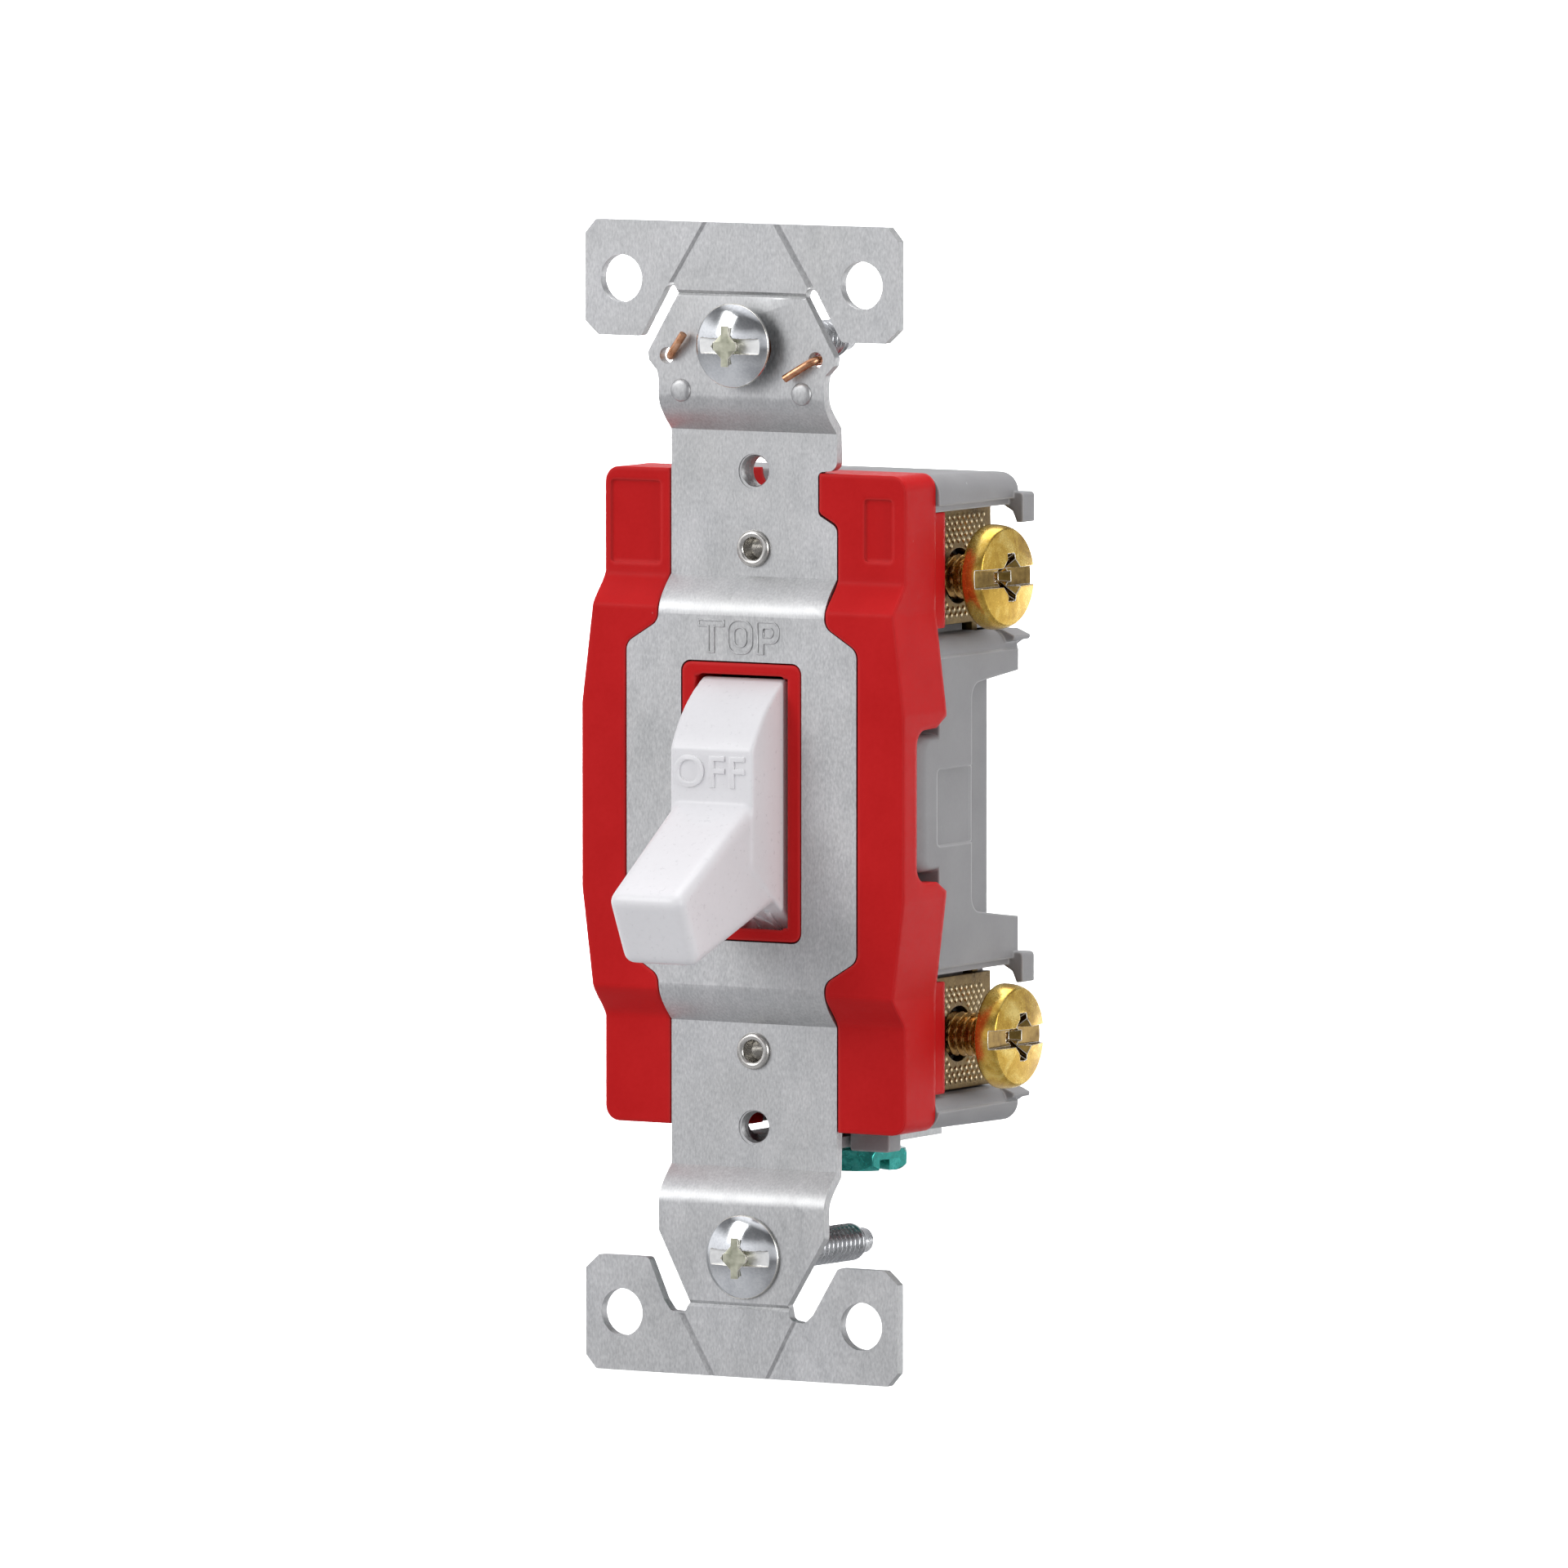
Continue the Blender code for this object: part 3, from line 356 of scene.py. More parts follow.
def plain_soft(name, dark, light, r0, r1, scale=2500, bump=0.02):
    m = Nodes(name)
    fine = m.noise(scale, 4, 0.6)
    cloud = m.noise(scale / 9, 3, 0.5)
    col = m.ramp(m.add(fine, cloud, 0.5, 0.5), [(0.3, dark), (0.7, light)])
    m.link(col, m.b.inputs["Base Color"])
    m.link(m.range(fine, r0, r1, 0.3, 0.7), m.b.inputs["Roughness"])
    m.bump(fine, bump, 0.6)
    return m.mat


ZINC = zinc_sheet()
BRIGHT = bright_zinc()
TINT = chromate_tint()
RED = red_moulding()
GREY = grey_moulding()
WHITE = white_moulding()
BRASS = knurled_brass()
# knurl teeth: a much lighter copy of the terminal brass, painted highlight on the tooth tips
TEETH_HIGHLIGHT = plain_metal("knurl_teeth_painted_highlight", (0.68, 0.53, 0.30), (0.95, 0.80, 0.54), 0.24, 0.38)
# slot floor of the zinc screw heads: a rougher zinc, its lighter colour a painted highlight
SLOT_FLOOR_HIGHLIGHT = plain_metal("zinc_slot_painted_highlight", (0.74, 0.75, 0.74), (0.9, 0.9, 0.88), 0.34, 0.5)
GOLD = gold_screw()
# slot floor and cross recess of the brass screw heads: a dark brass, painted shade in the recess
GOLD_RECESS_SHADE = plain_metal("brass_slot_painted_shade", (0.11, 0.06, 0.012), (0.42, 0.28, 0.08), 0.10, 0.24, 1600)
# bevel faces of the screw heads: pale worn metal, lighter still as a painted highlight along the rim and slot edges
WORN_AND_HIGHLIT_EDGE = plain_metal("worn_and_painted_highlight_edge", (0.80, 0.76, 0.66), (0.95, 0.93, 0.88), 0.2, 0.36)
# bevel faces of the housing: a lighter copy of the grey, painted highlight along the edges
GREY_EDGE_HIGHLIGHT = plain_soft("grey_edge_painted_highlight", (0.47, 0.47, 0.475), (0.56, 0.56, 0.565), 0.4, 0.55)
# bevel faces of the cover: a lighter copy of the red, painted highlight along the edges
RED_EDGE_HIGHLIGHT = plain_soft("red_edge_painted_highlight", (0.70, 0.014, 0.016), (0.78, 0.03, 0.032), 0.3, 0.42)
ZINC_THREAD = plain_metal("zinc_thread", (0.34, 0.35, 0.36), (0.60, 0.61, 0.62), 0.2, 0.34)
GOLD_THREAD = plain_metal("brass_thread", (0.44, 0.22, 0.06), (0.78, 0.48, 0.18), 0.18, 0.32)
COPPER = copper_wire()
GREEN = green_lacquer()
NICKEL = plain_metal("rivet_nickel", (0.50, 0.49, 0.46), (0.72, 0.70, 0.67), 0.18, 0.34)
SILVER = plain_metal("silver_contact", (0.62, 0.61, 0.57), (0.82, 0.81, 0.77), 0.25, 0.4)
SPRING = plain_metal("spring_steel", (0.36, 0.36, 0.36), (0.58, 0.58, 0.58), 0.22, 0.36)
NYLON = plain_soft("natural_nylon", (0.66, 0.63, 0.54), (0.76, 0.74, 0.66), 0.42, 0.56)
FIBRE = plain_soft("red_fibre", (0.20, 0.06, 0.035), (0.34, 0.12, 0.07), 0.6, 0.8, 1800, 0.05)
RUBBER = plain_soft("black_elastomer", (0.018, 0.018, 0.018), (0.045, 0.045, 0.045), 0.65, 0.85)


# ------------------------------------------------------------------ shape helpers
def rounded(points, seg=6):
    out = []
    n = len(points)
    for i, p in enumerate(points):
        r = p[2] if len(p) > 2 else 0.0
        c = Vector(p[:2])
        if r <= 0:
            out.append(c)
            continue
        a = (Vector(points[i - 1][:2]) - c).normalized()
        b = (Vector(points[(i + 1) % n][:2]) - c).normalized()
        half = a.angle(b) / 2
        d = r / math.tan(half)
        mid = c + (a + b).normalized() * (r / math.sin(half))
        s = (c + a * d) - mid
        e = (c + b * d) - mid
        turn = s.angle_signed(e)
        for k in range(seg + 1):
            out.append(mid + Matrix.Rotation(-turn * k / seg, 2) @ s)
    return [(v.x, v.y) for v in out]


def circle(cx, cy, d, n=48):
    return [(cx + d / 2 * math.cos(2 * math.pi * k / n), cy + d / 2 * math.sin(2 * math.pi * k / n))
            for k in range(n)]


def rect(w, h, r=0.0, cx=0.0, cy=0.0, seg=6):
    x, y = w / 2, h / 2
    pts = [(cx - x, cy - y, r), (cx + x, cy - y, r), (cx + x, cy + y, r), (cx - x, cy + y, r)]
    return rounded(pts, seg) if r else [(p[0], p[1]) for p in pts]


def span(x0, x1, y0, y1, r=0.0, seg=6):
    return rect(x1 - x0, y1 - y0, r, (x0 + x1) / 2, (y0 + y1) / 2, seg)


FACING = {
    "Y": Matrix(((1, 0, 0), (0, 0, -1), (0, 1, 0))).to_4x4(),
    "X": Matrix(((0, 0, 1), (1, 0, 0), (0, 1, 0))).to_4x4(),
    "Z": Matrix.Identity(4),
}


def outline_mesh(name, loops, depth=0.0):
    cu = bpy.data.curves.new(name, "CURVE")
    cu.dimensions = "2D"
    cu.fill_mode = "BOTH"
    cu.extrude = depth * MM / 2
    for pts in loops:
        sp = cu.splines.new("POLY")
        sp.points.add(len(pts) - 1)
        for p, v in zip(sp.points, pts):
            p.co = (v[0] * MM, v[1] * MM, 0, 1)
        sp.use_cyclic_u = True
    ob = bpy.data.objects.new(name + "_curve", cu)
    work.objects.link(ob)
    dg = bpy.context.evaluated_depsgraph_get()
    me = bpy.data.meshes.new_from_object(ob.evaluated_get(dg))
    bpy.data.objects.remove(ob, do_unlink=True)
    me.name = name
    bm = bmesh.new()
    bm.from_mesh(me)
    bmesh.ops.remove_doubles(bm, verts=bm.verts, dist=1e-7)
    if depth:
        bmesh.ops.recalc_face_normals(bm, faces=bm.faces)
    bm.to_mesh(me)
    bm.free()
    return me


def place(me, mat=None, name=None):
    ob = bpy.data.objects.new(name or me.name, me)
    work.objects.link(ob)
    if mat is not None:
        me.materials.clear()
        me.materials.append(mat)
    return ob


def prism(name, loops, axis, lo, hi, mat=None):
    me = outline_mesh(name, loops, hi - lo)
    shift = {"X": Vector((1, 0, 0)), "Y": Vector((0, 1, 0)), "Z": Vector((0, 0, 1))}[axis]
    me.transform(Matrix.Translation(shift * (lo + hi) / 2 * MM) @ FACING[axis])
    return place(me, mat)


def relief(name, loops, cuts, front, back, mat=None, round_front=0.0, xcuts=()):
    me = outline_mesh(name, loops)
    bm = bmesh.new()
    bm.from_mesh(me)
    for z in cuts:
        bmesh.ops.bisect_plane(bm, geom=bm.verts[:] + bm.edges[:] + bm.faces[:], dist=1e-7,
                               plane_co=(0, z * MM, 0), plane_no=(0, 1, 0))
    for x in xcuts:
        bmesh.ops.bisect_plane(bm, geom=bm.verts[:] + bm.edges[:] + bm.faces[:], dist=1e-7,
                               plane_co=(x * MM, 0, 0), plane_no=(1, 0, 0))
    base = list(bm.verts)
    base_edges = [e for e in bm.edges if e.is_boundary]
    ext = bmesh.ops.extrude_face_region(bm, geom=bm.faces[:])
    top = [g for g in ext["geom"] if isinstance(g, bmesh.types.BMVert)]
    for v in base:
        v.co.z = -front(v.co.y / MM) * MM
    for v in top:
        v.co.z = -back(v.co.y / MM) * MM
    bmesh.ops.recalc_face_normals(bm, faces=bm.faces)
    if round_front:
        bmesh.ops.bevel(bm, geom=[e for e in base_edges if e.is_valid], offset=round_front * MM,
                        segments=5, profile=0.5, affect="EDGES", clamp_overlap=True)
    bm.to_mesh(me)
    bm.free()
    me.transform(FACING["Y"])
    return place(me, mat)


def box(name, lo, hi, mat=None):
    me = bpy.data.meshes.new(name)
    bm = bmesh.new()
    bmesh.ops.create_cube(bm, size=1.0)
    for v in bm.verts:
        v.co = Vector([(hi[i] - lo[i]) * v.co[i] * MM + (hi[i] + lo[i]) / 2 * MM for i in range(3)])
    bm.to_mesh(me)
    bm.free()
    return place(me, mat)


def rod(name, d, a, b, mat=None, n=48, d2=None):
    a, b = Vector(a) * MM, Vector(b) * MM
    me = bpy.data.meshes.new(name)
    bm = bmesh.new()
    bmesh.ops.create_cone(bm, cap_ends=True, segments=n, radius1=d * MM / 2,
                          radius2=(d if d2 is None else d2) * MM / 2, depth=(b - a).length)
    q = (b - a).to_track_quat("Z", "Y").to_matrix().to_4x4()
    bm.transform(Matrix.Translation((a + b) / 2) @ q)
    bm.to_mesh(me)
    bm.free()
    return place(me, mat)


def loft(name, loops, mat=None):
    """Solid through loops of the same number of points (x, y, z)."""
    bm = bmesh.new()
    rings = [[bm.verts.new(Vector(q) * MM) for q in lp] for lp in loops]
    for a, b in zip(rings, rings[1:]):
        for k in range(len(a)):
            k2 = (k + 1) % len(a)
            bm.faces.new((a[k], a[k2], b[k2], b[k]))
    bm.faces.new(rings[0][::-1])
    bm.faces.new(rings[-1])
    bmesh.ops.recalc_face_normals(bm, faces=bm.faces)
    me = bpy.data.meshes.new(name)
    bm.to_mesh(me)
    bm.free()
    return place(me, mat)


def inset(pts, d):
    """Polygon moved inwards by d on every side."""
    area = sum(a[0] * b[1] - b[0] * a[1] for a, b in zip(pts, pts[1:] + pts[:1]))
    s = 1 if area > 0 else -1
    out = []
    n = len(pts)
    for i in range(n):
        p0, p1, p2 = Vector(pts[i - 1]), Vector(pts[i]), Vector(pts[(i + 1) % n])
        a, b = (p1 - p0).normalized(), (p2 - p1).normalized()
        na, nb = Vector((-a.y, a.x)) * s, Vector((-b.y, b.x)) * s
        m = na + nb
        q = p1 + m * (d / max(0.2, 0.5 * m.dot(m)))
        out.append((q.x, q.y))
    return out


def apply_mods(ob):
    dg = bpy.context.evaluated_depsgraph_get()
    me = bpy.data.meshes.new_from_object(ob.evaluated_get(dg), preserve_all_data_layers=True, depsgraph=dg)
    old = ob.data
    ob.modifiers.clear()
    ob.data = me
    me.name = ob.name
    if old.users == 0:
        bpy.data.meshes.remove(old)
    return ob


def cut(ob, others, op="DIFFERENCE"):
    """Cut ob by, or join it with, each of the other meshes, which are then removed."""
    if not isinstance(others, (list, tuple)):
        others = [others]
    for o in others:
        m = ob.modifiers.new("b", "BOOLEAN")
        m.object = o
        m.operation = op
        m.solver = "EXACT"
        m.material_mode = "TRANSFER"
    bpy.context.view_layer.update()
    apply_mods(ob)
    for o in others:
        me = o.data
        bpy.data.objects.remove(o, do_unlink=True)
        bpy.data.meshes.remove(me)
    return ob


def tidy(ob, bevel=0.0, seg=2, angle=35, smooth=30, dissolve=True, edge=None, clamp=True, flat=False):
    """Dissolve flat facets, round the edges a little and set smooth shading."""
    bm = bmesh.new()
    bm.from_mesh(ob.data)
    bmesh.ops.remove_doubles(bm, verts=bm.verts, dist=2e-6)
    bmesh.ops.dissolve_degenerate(bm, edges=bm.edges, dist=1e-6)
    if dissolve:
        bmesh.ops.dissolve_limit(bm, angle_limit=math.radians(0.5), use_dissolve_boundaries=False,
                                 verts=bm.verts, edges=bm.edges, delimit={"MATERIAL"})
    bm.to_mesh(ob.data)
    bm.free()
    ob.data.shade_smooth()
    ob.data.set_sharp_from_angle(angle=math.radians(smooth))
    if bevel:
        m = ob.modifiers.new("edges", "BEVEL")
        m.width = bevel * MM
        m.segments = seg
        m.limit_method = "ANGLE"
        m.angle_limit = math.radians(angle)
        m.use_clamp_overlap = clamp
        m.loop_slide = True
        m.miter_outer = "MITER_ARC"
        m.harden_normals = False
        # the bevel faces take the edge material, a lighter copy: a painted highlight along the edges (on the screw
        # heads also worn metal)
        if edge is not None:
            ob.data.materials.append(edge)
            m.material = len(ob.data.materials) - 1
        apply_mods(ob)
        ob.data.shade_smooth()
        ob.data.set_sharp_from_angle(angle=math.radians(smooth + 12))
        if flat:
            # keep the flat front and back truly flat right up to the rounded edge
            bm = bmesh.new()
            bm.from_mesh(ob.data)
            for e in bm.edges:
                if len(e.link_faces) == 2 and e.calc_face_angle(0.0) > math.radians(6):
                    if any(abs(f.normal.y) > 0.99999 for f in e.link_faces):
                        e.smooth = False
            bm.to_mesh(ob.data)
            bm.free()
    w = ob.modifiers.new("normals", "WEIGHTED_NORMAL")
    w.mode = "FACE_AREA_WITH_ANGLE"
    w.weight = 50
    w.keep_sharp = True
    return ob


def show(ob, name, body, slot, *nodes):
    ob.name = name
    ob.data.name = name
    for c in list(ob.users_collection):
        c.objects.unlink(ob)
    shown.objects.link(ob)
    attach(ob, body)
    if nodes:
        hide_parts(*nodes)
    return ob


def lathe(name, profile, n, mat, location=(0, 0, 0), direction=(0, 0, 1), sharp=35, radius=None):
    """Closed turned mesh; profile is (r, h) from the top of the axis down its outer side.
    radius(r, h, angle) may change the radius, for a thread."""
    bm = bmesh.new()
    rings = []
    for i, (r, h) in enumerate(profile):
        if r <= 1e-9:
            rings.append([bm.verts.new((0, 0, h * MM))])
        else:
            ring = []
            for k in range(n):
                a = 2 * math.pi * k / n
                rr = radius(r, h, a) if radius else r
                ring.append(bm.verts.new((rr * MM * math.cos(a), rr * MM * math.sin(a), h * MM)))
            rings.append(ring)
    for a, b in zip(rings, rings[1:]):
        for k in range(n):
            k2 = (k + 1) % n
            if len(a) == 1 and len(b) == 1:
                continue
            if len(a) == 1:
                bm.faces.new((a[0], b[k], b[k2]))
            elif len(b) == 1:
                bm.faces.new((a[k], b[0], a[k2]))
            else:
                bm.faces.new((a[k], b[k], b[k2], a[k2]))
    bmesh.ops.recalc_face_normals(bm, faces=bm.faces)
    q = Vector(direction).to_track_quat("Z", "Y").to_matrix().to_4x4()
    bm.transform(Matrix.Translation(Vector(location) * MM) @ q)
    me = bpy.data.meshes.new(name)
    bm.to_mesh(me)
    bm.free()
    ob = place(me, mat)
    me.shade_smooth()
    me.set_sharp_from_angle(angle=math.radians(sharp))
    return ob


def aim(location, direction, roll=0.0):
    q = Vector(direction).to_track_quat("Z", "Y").to_matrix().to_4x4()
    return Matrix.Translation(Vector(location) * MM) @ q @ Matrix.Rotation(roll, 4, "Z")


def wire(name, points, d, mat, resolution=6, spacing=0.25):
    """Smooth wire: Catmull-Rom through the points, swept as a mesh tube."""
    pts = [Vector(p) for p in points]
    ext = [pts[0] * 2 - pts[1]] + pts + [pts[-1] * 2 - pts[-2]]
    path = []
    for i in range(1, len(ext) - 2):
        p0, p1, p2, p3 = ext[i - 1:i + 3]
        n = max(2, int((p2 - p1).length / spacing))
        for k in range(n):
            t = k / n
            path.append(0.5 * ((2 * p1) + (p2 - p0) * t + (2 * p0 - 5 * p1 + 4 * p2 - p3) * t * t
                               + (3 * p1 - p0 - 3 * p2 + p3) * t ** 3))
    path.append(pts[-1])
    cu = bpy.data.curves.new(name, "CURVE")
    cu.dimensions = "3D"
    cu.bevel_depth = d * MM / 2
    cu.bevel_resolution = resolution
    cu.use_fill_caps = True
    sp = cu.splines.new("POLY")
    sp.points.add(len(path) - 1)
    for p, v in zip(sp.points, path):
        p.co = (v.x * MM, v.y * MM, v.z * MM, 1)
    ob = bpy.data.objects.new(name, cu)
    work.objects.link(ob)
    dg = bpy.context.evaluated_depsgraph_get()
    me = bpy.data.meshes.new_from_object(ob.evaluated_get(dg))
    bpy.data.objects.remove(ob, do_unlink=True)
    bm = bmesh.new()
    bm.from_mesh(me)
    bmesh.ops.remove_doubles(bm, verts=bm.verts, dist=1e-6)
    bm.to_mesh(me)
    bm.free()
    ob = place(me, mat)
    me.shade_smooth()
    me.set_sharp_from_angle(angle=math.radians(50))
    return ob


def lettering(name, text, size, depth, mat, matrix):
    """Plain raised capitals, centred, lying in the matrix's XY plane."""
    cu = bpy.data.curves.new(name, "FONT")
    cu.body = text
    cu.size = size * MM
    cu.extrude = depth * MM / 2
    cu.bevel_depth = depth * MM * 0.25
    cu.bevel_resolution = 1
    cu.align_x = "CENTER"
    cu.align_y = "CENTER"
    cu.space_character = 1.1
    ob = bpy.data.objects.new(name, cu)
    work.objects.link(ob)
    dg = bpy.context.evaluated_depsgraph_get()
    me = bpy.data.meshes.new_from_object(ob.evaluated_get(dg))
    bpy.data.objects.remove(ob, do_unlink=True)
    bm = bmesh.new()
    bm.from_mesh(me)
    bmesh.ops.remove_doubles(bm, verts=bm.verts, dist=1e-7)
    bmesh.ops.recalc_face_normals(bm, faces=bm.faces)
    bm.transform(matrix)
    bm.to_mesh(me)
    bm.free()
    return place(me, mat)


# ------------------------------------------------------------------ strap
def joggle(t):
    """Soft crest at 0, crisp foot at 1."""
    return 1 - math.cos(math.pi / 2 * min(max(t, 0.0), 1.0))


def strap_front(z):
    a = abs(z)
    if a > BEND_OUT[1]:
        s = joggle((BEND_OUT[0] - a) / (BEND_OUT[0] - BEND_OUT[1]))
    elif a > BEND_IN[0]:
        s = 1.0
    else:
        s = joggle((a - BEND_IN[1]) / (BEND_IN[0] - BEND_IN[1]))
    return EAR_FRONT + STEP * s


def strap_slope(z):
    return (strap_front(z + 0.02) - strap_front(z - 0.02)) / 0.04


def strap_back(z):
    s = strap_slope(z)
    return strap_front(z) + STRAP_T * math.sqrt(1 + s * s)


def cover_front(z):
    a = abs(z)
    t = min(max((a - 17.55) / (20.5 - 17.55), 0.0), 1.0)
    t = t * t * (3 - 2 * t) * 0.45 + t * 0.55
    return EAR_FRONT + (STEP - 0.03) * t


def bend_cuts(n=12):
    zs = []
    for a, b in (BEND_OUT, BEND_IN):
        for k in range(n + 1):
            zs.append(b + (a - b) * k / n)
    return sorted(zs + [-z for z in zs])


def strap_side(sign, grow=0.0):
    g = grow
    up = [
        (15.5, 53.0, 0.15), (EAR_HALF, 51.75, 0.15), (EAR_HALF, 43.65, 0.15), (15.2, 42.4, 0.15),
        (10.65, 42.4, 0.5), (7.98, 47.0, 0.35), (7.0, 47.3, 0.5), (6.75, 46.4, 0.4),
        (9.9, 41.0, 0.5), (9.8, 40.2, 0.3), (NECK_HALF + 0.15 + g, 39.3, 0.4), (NECK_HALF + g, 38.6, 0),
    ]
    if sign > 0:
        up += [(NECK_HALF + g, 30.5 - g, 0.9), (6.8 + g, 30.3 - g, 0.5), (6.8 + g, 26.4 + g, 0.6),
               (NECK_HALF + g, 25.3 + g, 0.9)]
    mid = [
        (NECK_HALF + g, 16.3, 1.3), (MID_HALF + g, 14.2, 1.2),
        (MID_HALF + g, -14.2, 1.2), (NECK_HALF + g, -16.3, 1.3),
    ]
    low = [
        (NECK_HALF + g, -39.8, 0.8), (5.5, -46.2, 0.3), (6.0, -47.3, 0.5), (7.5, -47.2, 0.4), (8.25, -46.2, 0.3),
        (9.9, -42.4, 0.5), (15.2, -42.4, 0.15), (EAR_HALF, -43.65, 0.15),
        (EAR_HALF, -51.75, 0.15), (15.5, -53.0, 0.15),
    ]
    if sign > 0:
        low[1:6] = [(4.95, -46.1, 0.3), (5.2, -47.45, 0.55), (6.7, -47.7, 0.5), (7.6, -46.9, 0.35), (10.3, -42.4, 0.5)]
    return [(sign * x, z, r) for x, z, r in up + mid + low]


# break-off grooves on the front face: (x0, z0, x1, z1)
GROOVES = [(-7.3, 46.45, 7.3, 46.45), (7.3, 47.4, 3.6, 53.2), (-7.3, 47.4, -3.6, 53.2),
           (-6.1, -46.4, 6.1, -46.4), (5.7, -47.7, 2.75, -53.2), (-6.3, -47.5, -3.0, -53.2)]
GROOVE_W = 0.6


def groove_depth(x, z):
    d = 0.0
    for x0, z0, x1, z1 in GROOVES:
        ax, az = x1 - x0, z1 - z0
        n = math.hypot(ax, az)
        t = ((x - x0) * ax + (z - z0) * az) / n
        off = abs((x - x0) * az - (z - z0) * ax) / n
        if -0.05 <= t <= n + 0.05 and off < GROOVE_W / 2:
            d = max(d, (0.27 if az == 0 else 0.15) * (1 - off / (GROOVE_W / 2)))
    return d


def strap_mesh():
    pts = strap_side(1) + strap_side(-1)[::-1]
    loops = [rounded(pts, 5), rect(12.8, 25.7, 1.0)]
    ex, ez, ed = EAR_HOLE
    for sx in (-1, 1):
        for sz in (-1, 1):
            loops.append(circle(sx * ex, sz * ez, ed, 56))
    for sz in (-1, 1):
        loops.append(circle(0, sz * PLATE_SCREW_Z, 3.3, 40))
        loops.append(circle(0, sz * RIVET_Z, 2.9, 36))
        loops.append(rect(6.4, 4.2, 2.05, 0, sz * BOX_SCREW_Z, seg=10))
    for sx in (-1, 1):
        loops.append(circle(sx * 7.9, 40.7, 1.5, 24))
    me = outline_mesh("strap", loops)
    bm = bmesh.new()
    bm.from_mesh(me)

    def bisect(co, no, keep=None):
        geom = bm.faces[:] if keep is None else [f for f in bm.faces if keep(f)]
        ed_ = {e for f in geom for e in f.edges}
        vs = {v for f in geom for v in f.verts}
        bmesh.ops.bisect_plane(bm, geom=list(vs) + list(ed_) + geom, dist=1e-7,
                               plane_co=(co[0] * MM, co[1] * MM, 0), plane_no=(no[0], no[1], 0))

    for z in bend_cuts():
        bisect((0, z), (0, 1))
    for z in (16.0, 12.85, 8, 4, 0, -4, -8, -12.85, -16.0, 25, 28, -25, -28, 39, -39):
        bisect((0, z), (0, 1))
    for x in (-6.4, 6.4, -3.2, 3.2, 0, 9.3, -9.3):
        bisect((x, 0), (1, 0))
    for x0, z0, x1, z1 in GROOVES:
        ax, az = x1 - x0, z1 - z0
        n = math.hypot(ax, az)
        nx, nz = az / n, -ax / n
        side = 1 if z0 > 0 else -1

        def near(f, side=side):
            return f.calc_center_median().y * side > 45.9 * MM
        for off in (-GROOVE_W / 2, 0.0, GROOVE_W / 2):
            bisect((x0 + nx * off, z0 + nz * off), (nx, nz), near)
        # ends of the groove, so that it doesn't run on past them
        for ex_, ez_, s in ((x0, z0, 1), (x1, z1, -1)):
            bisect((ex_ - s * 0.01 * ax / n, ez_ - s * 0.01 * az / n), (ax / n, az / n), near)
    # double surface: front sheet, back sheet and the sheared edge between them
    out = bmesh.new()
    fr, bk = {}, {}
    for v in bm.verts:
        x, z = v.co.x / MM, v.co.y / MM
        y = strap_front(z)
        s = strap_slope(z)
        ln = math.sqrt(1 + s * s)
        ny, nz = 1 / ln, -s / ln
        fr[v] = out.verts.new(Vector((x, y + groove_depth(x, z), z)) * MM)
        bk[v] = out.verts.new(Vector((x, y + STRAP_T * ny, z + STRAP_T * nz)) * MM)
    for f in bm.faces:
        vs = list(f.verts)
        if f.normal.z < 0:
            vs.reverse()
        out.faces.new([fr[v] for v in vs])
        out.faces.new([bk[v] for v in reversed(vs)])
    for e in bm.edges:
        if e.is_boundary:
            a, b = e.verts
            out.faces.new((fr[a], fr[b], bk[b], bk[a]))
    bmesh.ops.recalc_face_normals(out, faces=out.faces)
    out.to_mesh(me)
    out.free()
    bm.free()
    return me


strap = place(strap_mesh(), ZINC)
tidy(strap, bevel=0.19, seg=3, angle=62, smooth=28, dissolve=False, flat=True)
# outline capitals stamped above the window
STROKES = [
    [(-4.6, 16.65), (-1.75, 16.65), (-1.75, 15.95), (-2.8, 15.95), (-2.8, 13.55), (-3.55, 13.55), (-3.55, 15.95), (-4.6, 15.95)],
    rounded([(-1.45, 13.5, 1.1), (1.25, 13.5, 1.1), (1.25, 16.7, 1.1), (-1.45, 16.7, 1.1)], 8),
    rounded([(-0.65, 14.3, 0.5), (0.45, 14.3, 0.5), (0.45, 15.9, 0.5), (-0.65, 15.9, 0.5)], 8),
    rounded([(1.65, 16.65, 0), (4.1, 16.65, 0.9), (4.1, 14.55, 0.9), (2.45, 14.55, 0), (2.45, 13.55, 0), (1.65, 13.55, 0)], 8),
    rounded([(2.45, 15.95, 0), (3.3, 15.95, 0.33), (3.3, 15.25, 0.33), (2.45, 15.25, 0)], 6),
]
for k, pts in enumerate(STROKES):
    line = prism("stamp", [pts, inset(pts, 0.17 if k not in (2, 4) else -0.17)], "Y", EAR_FRONT - 0.11, EAR_FRONT + 0.1, ZINC)
    tidy(line, bevel=0.04, seg=1, angle=50)
    show(line, "strap_stamp_" + "abcde"[k], "switch_frame", "zinc_steel", "mounting_strap")
show(strap, "strap_plate", "switch_frame", "zinc_steel", "mounting_strap")

